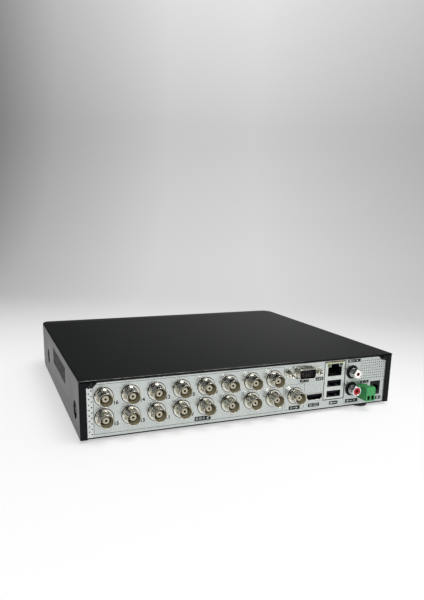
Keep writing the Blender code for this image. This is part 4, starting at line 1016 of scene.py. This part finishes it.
# ----------------------------------------------------------------------------
# Network and serial block
# ----------------------------------------------------------------------------
def make_network():
    x0, x1 = LAN_X - LAN_W / 2, LAN_X + LAN_W / 2
    shield = Shape()
    slots = ((20.8, 26.1), (12.2, 17.5))
    outer = rounded(rect(x0, x1, LAN_Z0, LAN_Z1), 0.5, 3)
    lamps = [rounded(rect(LAN_X + s * 5.6 - 1.5, LAN_X + s * 5.6 + 1.5, 37.3, 39.7), 0.3, 2) for s in (1, -1)]
    windows = [rj_outline(0.35)] + [rounded(rect(LAN_X - 6.5, LAN_X + 6.5, a, b), 0.4, 3) for a, b in slots] + lamps
    plate(shield, [outer] + windows, LAN_FACE - 0.4, LAN_FACE)
    wall = inset(outer, 0.4)
    plate(shield, [outer, wall], 82.0, LAN_FACE - 0.4)
    # spring fingers of the serial openings, bent inwards
    # the fingers take the dark painted-shade metal
    for a, b in slots:
        for dx in (-3.6, 3.6):
            for z, sgn in ((a, 1), (b, -1)):
                pts = [(LAN_FACE - 0.05, z), (LAN_FACE - 0.4, z), (LAN_FACE - 3.6, z + sgn * 0.95), (LAN_FACE - 4.6, z + sgn * 0.6), (LAN_FACE - 4.6, z + sgn * 0.75),
                       (LAN_FACE - 3.5, z + sgn * 1.12), (LAN_FACE - 0.1, z + sgn * 0.18)]
                prism(shield, pts, LAN_X + dx - 1.0, LAN_X + dx + 1.0, "X", mat=1)
    # folded lugs at the long sides of the shield, in front of the panel's edge
    for z in (14.6, 23.4, 33.0):
        for s in (1, -1):
            xa = x1 - 0.9 if s > 0 else x0
            cuboid(shield, xa, xa + 0.9, LAN_FACE - 0.3, LAN_FACE + 0.22, z - 1.4, z + 1.4, 0.12)
    piece("network_shield", shield, [tin, shade_metal], replaces="lan_usb_shield", angle=30)
    strip = Shape()                       # contact spring over the shield, in the panel's cut-out
    for k in range(9):
        cuboid(strip, x0 + 0.4 + 1.96 * k, x0 + 2.2 + 1.96 * k, LAN_FACE - 0.3, LAN_FACE + 0.3, LAN_Z1 - 0.95, LAN_Z1 - 0.05, 0.12)
    piece("network_spring", strip, [brass])

    core = Shape()
    face = LAN_FACE - 0.45
    box = rect(x0 + 0.9, x1 - 0.9, LAN_Z0 + 0.9, LAN_Z1 - 0.9)
    sockets = [rj_outline()] + [rect(LAN_X - 6.1, LAN_X + 6.1, a + 0.2, b - 0.2) for a, b in slots]
    plate(core, [box] + sockets, 93.0, face)
    prism(core, box, 82.5, 93.0)
    for a, b in slots:
        cuboid(core, LAN_X - 5.4, LAN_X + 5.4, 92.8, 102.6, b - 2.5, b - 1.1, 0.15)
        for k in range(4):                # contact blades under the tongue
            px = LAN_X + (k - 1.5) * 2.3
            cuboid(core, px - 0.5, px + 0.5, 94.0, 100.8, b - 2.68, b - 2.45, 0.03, mat=1)
    for k in range(8):                    # contact wires of the network socket
        px = LAN_X + (k - 3.5) * 1.02
        pts = [(102.0, 30.2), (102.2, 30.2), (96.4, 34.2), (93.2, 34.4), (93.2, 34.1), (96.3, 33.9)]
        prism(core, pts, px - 0.2, px + 0.2, "X", mat=1)
    piece("network_insert", core, [dark_plastic, gold], replaces="lan_usb_insert", angle=30)
    for n, (s, m) in enumerate(((1, lamp_yellow), (-1, lamp_green))):
        lamp = Shape()
        cuboid(lamp, LAN_X + s * 5.6 - 1.4, LAN_X + s * 5.6 + 1.4, face + 0.02, LAN_FACE - 0.08, 37.4, 39.6, 0.1)
        piece("network_lamp_%d" % (n + 1), lamp, [m])


make_network()


# ----------------------------------------------------------------------------
# Digital monitor connector
# ----------------------------------------------------------------------------
def make_digital():
    shell = Shape()
    face = PANEL_Y + 0.45
    rings = [(face - 13.0, 0.72), (face - 0.12, 0.72), (face, 0.60), (face, 0.12), (face - 0.15, 0.0), (face - 13.0, 0.0)]
    base, n = len(shell.v), None
    for s, g in rings:
        loop = hdmi_outline(HDMI_X, HDMI_Z, g)
        n = len(loop)
        shell.v += [(u, s, v) for u, v in loop]
    for row in range(len(rings)):
        nxt = (row + 1) % len(rings)
        for k in range(n):
            j = (k + 1) % n
            shell.f.append((base + row * n + k, base + row * n + j, base + nxt * n + j, base + nxt * n + k))
            shell.m.append(0)
    for dx in (-3.4, 3.4):               # spring fingers
        pts = [(face - 1.0, HDMI_Z + 2.35), (face - 5.0, HDMI_Z + 1.75), (face - 6.2, HDMI_Z + 2.1), (face - 6.2, HDMI_Z + 2.25), (face - 5.0, HDMI_Z + 1.9), (face - 1.0, HDMI_Z + 2.45)]
        prism(shell, pts, HDMI_X + dx - 0.9, HDMI_X + dx + 0.9, "X")
    piece("digital_shell", shell, [zinc], replaces="hdmi_shell", angle=30)
    tongue = Shape()
    prism(tongue, hdmi_outline(HDMI_X, HDMI_Z, -0.3), PANEL_Y - 12.0, PANEL_Y - 9.0)
    cuboid(tongue, HDMI_X - 5.6, HDMI_X + 5.6, 93.0, PANEL_Y - 1.0, HDMI_Z - 0.1, HDMI_Z + 1.1, 0.2)
    for k in range(10):
        px = HDMI_X + (k - 4.5) * 1.0
        cuboid(tongue, px - 0.22, px + 0.22, 95.0, PANEL_Y - 1.5, HDMI_Z - 0.17, HDMI_Z - 0.05, 0.02, mat=1)
        cuboid(tongue, px - 0.22, px + 0.22, 95.0, PANEL_Y - 1.5, HDMI_Z + 1.05, HDMI_Z + 1.17, 0.02, mat=1)
    piece("digital_tongue", tongue, [dark_plastic, gold], replaces="hdmi_tongue", angle=30)


make_digital()


# ----------------------------------------------------------------------------
# Audio sockets
# ----------------------------------------------------------------------------
def make_audio():
    P = PANEL_Y
    house = Shape()
    outline = rect(RCA_X - 5.6, RCA_X + 5.2, SEAT_Z, 38.2)
    plate(house, [rounded(outline, 0.4, 2)] + [ring(RCA_X, z, 4.45, 32) for z in RCA_Z], 89.0, PANEL_IN - GAP)
    for z in RCA_Z:
        lathe(house, [(4.45, PANEL_IN - GAP - 0.2), (5.3, PANEL_IN - GAP - 0.2), (5.3, P + 0.9), (5.15, P + 1.08), (4.6, P + 1.1), (4.45, P + 0.95), (4.45, PANEL_IN - GAP - 0.2)], "Y", (RCA_X, z), 48)
    piece("audio_housing", house, [black_plastic], replaces="rca_housing", angle=30)
    for tag, z, liner_mat, slot in (("top", RCA_Z[0], white_plastic, "white_plastic"), ("bottom", RCA_Z[1], red_plastic, "red_plastic")):
        R = RCA_RIM
        barrel = Shape()
        lathe(barrel, [(3.35, 94.0), (4.15, 94.0), (4.15, R - 5.1), (4.05, R - 5.0), (4.05, R - 4.7), (4.15, R - 4.6), (4.15, R - 0.5), (4.02, R - 0.16), (3.85, R), (3.12, R), (3.02, R - 0.12), (3.02, R - 0.9), (3.35, R - 1.1), (3.35, 94.0)],
              "Y", (RCA_X, z), 56)
        piece("audio_barrel_" + tag, barrel, [chrome], replaces="rca_barrel_" + tag, angle=30)
        liner = Shape()
        lathe(liner, [(1.5, 94.0), (2.95, 94.0), (2.95, R - 0.45), (2.8, R - 0.26), (1.75, R - 0.24), (1.5, R - 0.36), (1.42, R - 0.6), (1.42, R - 2.0), (1.5, R - 2.2), (1.5, 94.0)], "Y", (RCA_X, z), 48,
              mats=[0] * 5 + [1] * 4)
        lathe(liner, [(0, R - 3.2), (1.46, R - 3.2), (1.46, R - 2.1), (0.6, R - 2.1), (0.5, R - 2.3), (0, R - 2.3)], "Y", (RCA_X, z), 28, mats=[1] * 5)
        piece("audio_liner_" + tag, liner, [liner_mat, liner_hole_painted_shade], replaces="rca_liner_" + tag, angle=30)
        spring = Shape()
        lathe(spring, [(1.0, 94.5), (1.45, 94.5), (1.45, R - 4.2), (1.3, R - 3.5), (1.15, R - 3.5), (1.0, R - 4.2), (1.0, 94.5)], "Y", (RCA_X, z), 24)
        piece("audio_contact_" + tag, spring, [black_screw_mat], angle=30)


make_audio()


# ----------------------------------------------------------------------------
# Plug-in screw terminal
# ----------------------------------------------------------------------------
def make_terminal():
    header = Shape()
    outer = rounded(rect(PLUG_X - 4.6, PLUG_X + 4.6, SEAT_Z, 19.4), 0.3, 2)
    plate(header, [outer, rounded(rect(PLUG_X - 3.9, PLUG_X + 3.9, SEAT_Z + 0.9, 18.5), 0.2, 2)], 94.0, PANEL_Y + 0.2)
    prism(header, outer, 92.0, 94.0)
    for dx in (-1.905, 1.905):
        cuboid(header, PLUG_X + dx - 0.4, PLUG_X + dx + 0.4, 93.5, 101.8, 13.6, 14.4, 0.15, mat=1)
    piece("terminal_socket", header, [green_plastic, nickel], replaces="terminal_header", angle=30)

    plug = Shape()
    B, F = PLUG_BACK, PLUG_FACE
    x0, x1 = PLUG_X - PLUG_W / 2, PLUG_X + PLUG_W / 2
    entries = [(PLUG_X + dx - 1.35, PLUG_X + dx + 1.35, 9.8, 13.4) for dx in (-1.905, 1.905)]
    # lower front block with the wire entries, in front of the screw shafts
    front = rounded(rect(x0, x1, 9.0, 14.2), 0.25, 2)
    plate(plug, [front] + [rounded(rect(a, b, c, d), 0.35, 3) for a, b, c, d in entries], F - 7.0, F)
    prism(plug, front, B, F - 7.0)
    # upper block, one storey above the entries, open for the screws from the top
    ways = [ring(PLUG_X + dx, F - 3.6, 1.55, 28) for dx in (-1.905, 1.905)]
    top_plan = rect(x0, x1, F - 6.4, F)
    mid = rect(x0, x1, F - 6.4, F)
    plate(plug, [mid] + ways, 14.2, 17.9, "Z")
    plate(plug, [rect(x0, x1, F - 6.4, F - 0.9)] + ways, 17.9, 20.0, "Z")
    prism(plug, [(F - 0.95, 17.9), (F, 17.9), (F - 0.75, 19.6), (F - 0.95, 20.0)], x0, x1, "X")
    prism(plug, rect(B, F - 6.4, 14.2, 18.6), x0, x1, "X")
    # ribs that key the plug, on its upper deck, and the block behind it that goes into the socket
    for dx in (-1.905, 1.905):
        cuboid(plug, PLUG_X + dx - 0.6, PLUG_X + dx + 0.6, B + 0.4, F - 6.4, 18.5, 19.2, 0.12)
    cuboid(plug, PLUG_X - 3.6, PLUG_X + 3.6, 95.2, B + 1.0, SEAT_Z + 1.3, 18.1, 0.25)
    piece("terminal_plug_body", plug, [green_plastic], body="plug", replaces="terminal_plug", angle=30)
    for dx in (-1.905, 1.905):
        cage = Shape()
        a, b = PLUG_X + dx - 1.1, PLUG_X + dx + 1.1
        a, b = PLUG_X + dx - 1.33, PLUG_X + dx + 1.33
        plate(cage, [rect(a, b, 9.83, 13.37), rect(a + 0.25, b - 0.25, 10.1, 13.1)], F - 6.8, F - 0.5)
        cuboid(cage, a + 0.2, b - 0.2, F - 6.7, F - 6.2, 10.0, 13.2, 0.1)
        piece("terminal_clamp_%s" % ("a" if dx > 0 else "b"), cage, [clamp_mat], body="plug")
    for n, dx in ((1, 1.905), (2, -1.905)):
        screw = Shape()
        cx, cy = PLUG_X + dx, F - 3.6
        lathe(screw, [(0, 14.6), (1.05, 14.6), (1.2, 14.75), (1.2, 18.5), (0, 18.5)], "Z", (cx, cy), 28)
        # slotted head: two half discs
        for sgn in (1, -1):
            pts = []
            lo = math.asin(0.3 / 1.2)
            for k in range(11):
                t = lo + (math.pi - 2 * lo) * k / 10
                pts.append((cx + 1.2 * math.cos(t), cy + sgn * 1.2 * math.sin(t)))
            prism(screw, pts, 18.45, 19.4, "Z", cb=0.12)
        piece("terminal_screw_%d" % n, screw, [zinc], body="clamp_a" if n == 1 else "clamp_b", replaces="clamp_screw_%d" % n, angle=30)


make_terminal()


# ----------------------------------------------------------------------------
# Power inlet
# ----------------------------------------------------------------------------
def make_inlet():
    body = Shape()
    face = PANEL_Y + 0.3
    outer = rounded(rect(DC_X - 4.6, DC_X + 4.6, SEAT_Z, DC_Z + 5.5), 0.6, 3)
    plate(body, [outer, ring(DC_X, DC_Z, 3.2, 48)], 94.5, face - 0.5)
    lip = rounded(rect(DC_X - 4.5, DC_X + 4.5, SEAT_Z + 0.1, DC_Z + 5.4), 0.6, 3)
    plate(body, [lip, ring(DC_X, DC_Z, 3.5, 48)], face - 0.5, face)
    plate(body, [outer, ring(DC_X, DC_Z, 1.35, 24)], 90.0, 94.5)
    spring = Shape()
    lathe(spring, [(2.95, 94.8), (3.12, 94.8), (3.12, face - 0.7), (2.95, face - 0.7), (2.95, 94.8)], "Y", (DC_X, DC_Z), 48)
    piece("inlet_body", body, [black_plastic], replaces="dc_inlet", angle=30)
    piece("inlet_sleeve", spring, [black_screw_mat], angle=30)
    pin = Shape()
    P = PANEL_Y
    lathe(pin, [(0, 91.0), (1.0, 91.0), (1.0, P - 1.3), (0.93, P - 1.0), (0.72, P - 0.75), (0.4, P - 0.62), (0, P - 0.6)], "Y", (DC_X, DC_Z), 28)
    piece("inlet_pin", pin, [nickel], replaces="dc_pin", angle=40)


make_inlet()


# ----------------------------------------------------------------------------
# Front bezel, window and button
# ----------------------------------------------------------------------------
def bezel_plan(d, back):
    """Plan of the bezel moved inwards by d; the back edge stays."""
    half, face = HALF_W - d, FACE_Y + d
    out = [(half, back)]
    ax, ay = 5.0 - d * 0.4, 9.5 - d
    for k in range(15):
        t = math.pi / 2 * k / 14
        out.append((half - ax + ax * math.cos(t), face + ay - ay * math.sin(t)))
    ax, ay = 9.5 - d * 0.4, 12.0 - d
    for k in range(15):
        t = math.pi / 2 * (1 - k / 14)
        out.append((-half + ax - ax * math.cos(t), face + ay - ay * math.sin(t)))
    out.append((-half, back))
    return out


def make_bezel():
    back = FRONT_Y - GAP
    # the moulding's skin: rings of the plan at rising heights, rounded at both edges
    shape = Shape()
    edge = 1.6
    levels = []
    for k in range(7):
        t = math.pi / 2 * k / 6
        levels.append((BASE_Z + edge - edge * math.cos(t), edge - edge * math.sin(t)))
    upper = [(TOP_Z + BASE_Z - z, d) for z, d in reversed(levels)]
    rings = levels + upper
    outer = [bezel_plan(d, back) for z, d in rings]
    bm = bmesh.new()
    rows = [[bm.verts.new((u, v, z)) for u, v in loop] for (z, d), loop in zip(rings, outer)]
    n = len(rows[0])
    for a, b in zip(rows, rows[1:]):
        for k in range(n):
            j = (k + 1) % n
            bm.faces.new((a[k], a[j], b[j], b[k]))
    bm.faces.new(list(reversed(rows[0])))
    bm.faces.new(rows[-1])
    bmesh.ops.recalc_face_normals(bm, faces=bm.faces)
    skin = bpy.data.meshes.new("bezel_moulding")
    for v in bm.verts:
        v.co *= MM
    bm.to_mesh(skin)
    bm.free()
    obj = bpy.data.objects.new("bezel_moulding", skin)
    bpy.context.scene.collection.objects.link(obj)
    tools = []

    def cut(shape_):
        mesh = mesh_of("tmp_cut", shape_, [bezel_mat])
        tool = bpy.data.objects.new("tmp_cut", mesh)
        bpy.context.scene.collection.objects.link(tool)
        mod = obj.modifiers.new("Cut", "BOOLEAN")
        mod.operation, mod.solver, mod.object = "DIFFERENCE", "EXACT", tool
        tools.append(tool)

    cut(prism(Shape(), bezel_plan(2.0, back + 5), BASE_Z + 2.0, TOP_Z - 2.0, "Z"))
    wx0, wx1, wz0, wz1 = -104.0, -40.0, 17.6, 29.6
    cut(prism(Shape(), rounded(rect(wx0, wx1, wz0, wz1), 1.2, 5), FACE_Y - 2, FACE_Y + 4))
    # a flared edge round the window
    flare = Shape()
    prism(flare, rounded(rect(wx0 - 0.9, wx1 + 0.9, wz0 - 0.9, wz1 + 0.9), 2.0, 5), FACE_Y - 1.0, FACE_Y + 0.55, cb=0.55)
    cut(flare)
    cut(lathe(Shape(), [(0, FACE_Y - 0.5), (8.9, FACE_Y - 0.5), (8.6, FACE_Y), (7.6, FACE_Y + 0.55), (7.0, FACE_Y + 0.8), (5.8, FACE_Y + 0.9), (5.8, FACE_Y + 4), (0, FACE_Y + 4)], "Y", (96.0, 23.6), 64))
    # thin shadow groove along the whole face
    cut(cuboid(Shape(), -118.0, 118.0, FACE_Y - 1.0, FACE_Y + 0.6, 12.2, 12.8, 0.05))
    bpy.context.view_layer.update()
    mesh = bpy.data.meshes.new_from_object(obj.evaluated_get(bpy.context.evaluated_depsgraph_get()))
    obj.modifiers.clear()
    obj.data = mesh
    for t in tools:
        bpy.data.objects.remove(t, do_unlink=True)
    mesh.materials.clear()
    mesh.materials.append(bezel_mat)
    mesh.polygons.foreach_set("material_index", [0] * len(mesh.polygons))
    mesh.shade_smooth()
    mesh.set_sharp_from_angle(angle=math.radians(30))
    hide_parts("front_bezel")
    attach(obj, "recorder")

    lens = Shape()
    wx0, wx1, wz0, wz1 = wx0 + GAP, wx1 - GAP, wz0 + GAP, wz1 - GAP
    prism(lens, rounded(rect(wx0, wx1, wz0, wz1), 0.9, 5), FACE_Y + 0.3, FACE_Y + 2.6, ca=0.25)
    prism(lens, rounded(rect(wx0 - 1.6, wx1 + 1.6, wz0 - 1.6, wz1 + 1.6), 1.2, 4), FACE_Y + 2.35, FACE_Y + 3.3)
    piece("window_lens", lens, [window_mat], replaces="front_window", angle=30)

    button = Shape()
    F = FACE_Y
    prof = [(0, F + 0.45), (2.2, F + 0.38), (4.0, F + 0.18), (4.7, F + 0.1), (5.1, F + 0.22), (5.35, F + 0.5), (5.4, F + 0.9), (5.4, F + 2.4), (6.9, F + 2.4), (6.9, F + 3.4), (1.6, F + 3.4), (1.6, F + 9.0), (0, F + 9.0)]
    lathe(button, prof, "Y", (96.0, 23.6), 56)
    # raised standby sign: open ring and a stroke
    arc_out, arc_in = [], []
    for k in range(25):
        t = math.radians(90 + 38) + (TAU - math.radians(76)) * k / 24
        arc_out.append((96.0 + 2.0 * math.cos(t), 23.6 + 2.0 * math.sin(t)))
        arc_in.append((96.0 + 1.55 * math.cos(t), 23.6 + 1.55 * math.sin(t)))
    prism(button, arc_out + list(reversed(arc_in)), F + 0.22, F + 0.6, mat=1)
    prism(button, rect(95.78, 96.22, 23.9, 25.7), F + 0.22, F + 0.6, mat=1)
    piece("power_key_cap", button, [bezel_mat, print_white], body="power_key", replaces="power_button", angle=28)


make_bezel()


# ----------------------------------------------------------------------------
# Fasteners and feet
# ----------------------------------------------------------------------------
def cross_screw(name, axis, at, seat, way, head_r, head_h, shank_r, tip, replaces):
    """Pan head with a real cross recess cut into it, drawn along an axis."""
    shape = Shape()
    arm, half = head_r * 0.52, head_r * 0.11
    turn = math.radians(24)
    seg = 40
    lo = lambda h: seat + way * h
    prof = [(0, lo(head_h * 0.45)), (arm * 1.15, lo(head_h * 0.45)), (arm * 1.15, lo(head_h * 0.96)), (head_r * 0.68, lo(head_h * 0.86)), (head_r * 0.88, lo(head_h * 0.62)),
            (head_r * 0.98, lo(head_h * 0.3)), (head_r, lo(head_h * 0.1)), (head_r * 0.98, lo(0)), (shank_r, lo(0)), (shank_r, tip - way * -0.4), (shank_r * 0.6, tip), (0, tip)]
    lathe(shape, prof, axis, at, seg)
    # crown with the cross cut out
    cross = [(-half, -arm), (half, -arm), (half, -half), (arm, -half), (arm, half), (half, half), (half, arm), (-half, arm),
             (-half, half), (-arm, half), (-arm, -half), (-half, -half)]
    cross = [(at[0] + u * math.cos(turn) - v * math.sin(turn), at[1] + u * math.sin(turn) + v * math.cos(turn)) for u, v in cross]
    a, b = sorted((lo(head_h * 0.44), lo(head_h)))
    plate(shape, [ring(at[0], at[1], arm * 1.15, seg), cross], a, b, axis)
    piece(name, shape, [black_screw_mat], replaces=replaces, angle=30)


n = 1
for sign in (1, -1):
    for y, z in DISHES:
        seat = sign * (HALF_W - 2.1 + GAP)
        cross_screw("side_screw_%d" % n, "X", (y, z), seat, sign, 3.0, 1.5, 1.45, sign * 118.5, "cover_screw_%d" % n)
        n += 1
for n, sign in ((1, 1), (2, -1)):
    cross_screw("corner_screw_%d" % n, "Y", (sign * EAR_X, EAR_Z), REAR_Y + GAP, 1, 2.0, 1.0, 0.95, 100.5, "rear_screw_%d" % n)

foot = Shape()
lathe(foot, [(0, 2.3), (7.2, 2.3), (7.5, 2.1), (7.42, 1.6), (7.08, 0.4), (6.7, 0.0), (4.6, 0.0), (4.3, 0.35), (2.4, 0.35), (2.2, 0.9), (0, 0.9)], "Z", (104.0, 95.6), 48)
foot_mesh = mesh_of("rubber_foot", foot, [rubber], 30)
for n, (x, y) in enumerate(((104.0, 91.0), (-104.0, 95.6), (104.0, -84.0), (-104.0, -84.0)), 1):
    piece("rubber_foot_%d" % n, None, None, replaces="foot_%d" % n, mesh=foot_mesh, shift=(x - 104.0, y - 95.6, 0))


# ----------------------------------------------------------------------------
# Frame pieces that keep their shape and get a finished material
# ----------------------------------------------------------------------------
def finish_node(name, mat, bevel=0.0, angle=30.0):
    obj = NODES[name]
    obj.data.materials.clear()
    obj.data.materials.append(mat)
    obj.data.polygons.foreach_set("material_index", [0] * len(obj.data.polygons))
    if bevel:
        mod = obj.modifiers.new("Edge", "BEVEL")
        mod.width, mod.segments, mod.limit_method, mod.angle_limit = bevel * MM, 2, "ANGLE", math.radians(40)
        mod.use_clamp_overlap = True
    return obj


finish_node("chassis_tray", black_inside)
finish_node("main_board", board)
finish_node("front_board", board)
finish_node("heat_sink", aluminium)
finish_node("hdd_base", cast)
finish_node("hdd_lid", aluminium)
finish_node("hdd_platter", disc)
finish_node("hdd_head_arm", aluminium)


# ----------------------------------------------------------------------------
# Studio: sweep, lights, camera
# ----------------------------------------------------------------------------
CAM_AT = Vector((0.1823033, 0.4635949, 0.1525914))
AZ, EL, ROLL = math.radians(157.3962), math.radians(13.5986), math.radians(1.1412)
back = Vector((math.sin(AZ) * math.cos(EL), -math.cos(AZ) * math.cos(EL), math.sin(EL)))
fwd = -back
right = fwd.cross(Vector((0, 0, 1))).normalized()
up = right.cross(fwd)
R = right * math.cos(ROLL) + up * math.sin(ROLL)
U = up * math.cos(ROLL) - right * math.sin(ROLL)
cam_data = bpy.data.cameras.new("camera")
cam = bpy.data.objects.new("camera", cam_data)
bpy.context.scene.collection.objects.link(cam)
cam.matrix_world = Matrix(((R.x, U.x, back.x, CAM_AT.x), (R.y, U.y, back.y, CAM_AT.y), (R.z, U.z, back.z, CAM_AT.z), (0, 0, 0, 1)))
cam_data.sensor_fit = "AUTO"
cam_data.sensor_width = 36.0
cam_data.lens = 33.77
cam_data.shift_x = -0.0007
cam_data.shift_y = 0.0833
cam_data.clip_start = 0.01
cam_data.clip_end = 50.0
cam_data.dof.use_dof = False
bpy.context.scene.camera = cam

STUDIO_TURN = math.radians(157.4)                  # the sheet runs this way behind the recorder
away = Vector((-math.sin(STUDIO_TURN), math.cos(STUDIO_TURN), 0))
across = Vector((-away.y, away.x, 0))


def sweep_mesh(name, stations):
    """Strip of the studio sheet: (distance behind the recorder's centre, height) stations."""
    sides = [-5.0 + 10.0 * k / 40 for k in range(41)]
    verts, faces = [], []
    for d, h in stations:
        for s in sides:
            p = away * d + across * s
            verts.append((p.x, p.y, h))
    n = len(sides)
    for i in range(len(stations) - 1):
        for k in range(n - 1):
            faces.append((i * n + k, i * n + k + 1, (i + 1) * n + k + 1, (i + 1) * n + k))
    mesh = bpy.data.meshes.new(name)
    mesh.from_pydata(verts, [], faces)
    mesh.update()
    mesh.shade_smooth()
    return mesh


def sweep_material():
    """Pale paper: matt where the recorder stands, with a flat emission mixed in, and further back a painted glow of
    soft grey that falls off towards the sides and changes with height."""
    p = Paint("studio_paper_and_glow")
    depth = p.node("ShaderNodeVectorMath", operation="DOT_PRODUCT")
    p.wire(p.where, depth.inputs[0])
    depth.inputs[1].default_value = tuple(away)
    side = p.node("ShaderNodeVectorMath", operation="DOT_PRODUCT")
    p.wire(p.where, side.inputs[0])
    side.inputs[1].default_value = tuple(-across)
    lateral = p.span(side.outputs["Value"], -0.58, 0.58, 0.0, 1.0)
    # painted glow: the backdrop's brightness is set by position across and up the sheet, not by a lamp
    tones = [(0.0, 0.23), (0.14, 0.42), (0.40, 0.62), (0.60, 0.65), (1.0, 0.48)]
    glow = p.ramp(lateral, tones)
    height = p.node("ShaderNodeSeparateXYZ")
    p.wire(p.where, height.inputs[0])
    low_part = p.span(height.outputs["Z"], 0.05, 0.32, 1.05, 0.93)
    lift = p.math("MULTIPLY", low_part, p.span(height.outputs["Z"], 0.38, 0.75, 1.0, 1.32))
    scaled = p.node("ShaderNodeVectorMath", operation="SCALE")
    p.wire(glow, scaled.inputs[0])
    p.wire(lift, scaled.inputs["Scale"])
    shine = p.node("ShaderNodeEmission")
    p.wire(scaled.outputs[0], shine.inputs["Color"])
    shine.inputs["Strength"].default_value = 1.0
    paper = p.noise(6, 2, 0.5, seed=1.0)
    p.colour(p.ramp(paper, [(0.3, (0.895, 0.895, 0.895)), (0.7, (0.905, 0.905, 0.905))]))
    p.put("Roughness", 0.9)
    p.put("Specular IOR Level", 0.1)
    blend = p.node("ShaderNodeMixShader")
    ease = p.node("ShaderNodeMapRange", clamp=True, interpolation_type="SMOOTHSTEP")
    for key, value in zip(("From Min", "From Max", "To Min", "To Max"), (FADE[0], FADE[1], 0.0, 1.0)):
        ease.inputs[key].default_value = value
    lean = p.math("MAXIMUM", p.math("MULTIPLY", side.outputs["Value"], 0.5), 0.0)
    p.wire(p.math("ADD", depth.outputs["Value"], lean), ease.inputs["Value"])
    p.wire(ease.outputs["Result"], blend.inputs[0])
    under = p.node("ShaderNodeEmission")
    under.inputs["Color"].default_value = (0.88, 0.88, 0.88, 1.0)
    lit = p.node("ShaderNodeMixShader")
    lit.inputs[0].default_value = 0.55
    p.wire(p.bsdf.outputs[0], lit.inputs[1])
    p.wire(under.outputs[0], lit.inputs[2])
    p.wire(lit.outputs[0], blend.inputs[1])
    p.wire(shine.outputs[0], blend.inputs[2])
    p.wire(blend.outputs[0], p.node_output())
    return p.mat


FADE = (-0.02, 0.58)
floor_line = [(d, 0.0) for d in (-5.5, -3.5, -2.0, -1.2, -0.8, -0.5, -0.2, 0.1, 0.3, 0.45, 0.55)]
rise = [(0.55 + 0.6 * math.sin(math.radians(7.5 * k)), 0.6 - 0.6 * math.cos(math.radians(7.5 * k))) for k in range(13)] + [(1.16, 3.6)]
paper_and_glow_mat = sweep_material()
for name, stations in (("studio_floor", floor_line), ("studio_backdrop", rise)):
    sheet_obj = bpy.data.objects.new(name, sweep_mesh(name, stations))
    bpy.context.scene.collection.objects.link(sheet_obj)
    sheet_obj.data.materials.append(paper_and_glow_mat)
    if name == "studio_backdrop":
        sheet_obj.visible_glossy = False      # the studio above it is dark

world = bpy.data.worlds.new("studio")
bpy.context.scene.world = world
world.use_nodes = True
bg = world.node_tree.nodes["Background"]
tree = world.node_tree


def world_span(source, a0, a1, b0, b1, smooth=True):
    made = tree.nodes.new("ShaderNodeMapRange")
    made.clamp = True
    if smooth:
        made.interpolation_type = "SMOOTHSTEP"
    for key, value in zip(("From Min", "From Max", "To Min", "To Max"), (a0, a1, b0, b1)):
        made.inputs[key].default_value = value
    tree.links.new(source, made.inputs["Value"])
    return made.outputs["Result"]


def world_times(a, b):
    made = tree.nodes.new("ShaderNodeMath")
    made.operation = "MULTIPLY"
    tree.links.new(a, made.inputs[0])
    tree.links.new(b, made.inputs[1])
    return made.outputs[0]


coords = tree.nodes.new("ShaderNodeTexCoord")
parts = tree.nodes.new("ShaderNodeSeparateXYZ")
tree.links.new(coords.outputs["Generated"], parts.inputs[0])
glow = world_times(world_span(parts.outputs["Z"], 0.10, 0.33, 1.0, 0.0), world_span(parts.outputs["X"], -0.56, 0.08, 1.0, 0.04))
glow = world_times(glow, world_span(parts.outputs["X"], -0.74, -0.50, 0.15, 1.0))
glow = world_times(glow, world_span(parts.outputs["Y"], -0.5, 0.1, 1.0, 0.0))
level = tree.nodes.new("ShaderNodeMath")
level.operation = "MULTIPLY_ADD"
tree.links.new(glow, level.inputs[0])
level.inputs[1].default_value = 0.50
level.inputs[2].default_value = 0.020
bg.inputs["Color"].default_value = (1.0, 1.0, 1.0, 1.0)
tree.links.new(level.outputs[0], bg.inputs["Strength"])


def softbox(name, at, target, size, power, colour=(1, 1, 1), size_y=None):
    data = bpy.data.lights.new(name, "AREA")
    data.shape = "RECTANGLE"
    data.size = size
    data.size_y = size_y or size
    data.energy = power
    data.color = colour
    obj = bpy.data.objects.new(name, data)
    bpy.context.scene.collection.objects.link(obj)
    obj.location = Vector(at)
    obj.rotation_euler = (Vector(target) - Vector(at)).to_track_quat("-Z", "Y").to_euler()
    return obj


big = softbox("overhead", (-0.2, 0.35, 2.2), (0.0, 0.2, 0.0), 1.8, 10.0)
big.visible_glossy = False
fill = softbox("front_key", (0.55, 2.35, 1.7), (0.0, 0.1, 0.0), 1.8, 72.0)
fill.visible_glossy = False
softbox("front_box", (-0.45, 1.95, 0.70), (-0.02, 0.1, 0.02), 0.42, 5.0)
softbox("top_box", (-0.5, 0.60, 1.9), (0.0, 0.1, 0.03), 1.0, 18.0)

view = bpy.context.scene.view_settings
view.view_transform = "Standard"
view.look = "None"
view.exposure = 0.0
view.gamma = 1.0
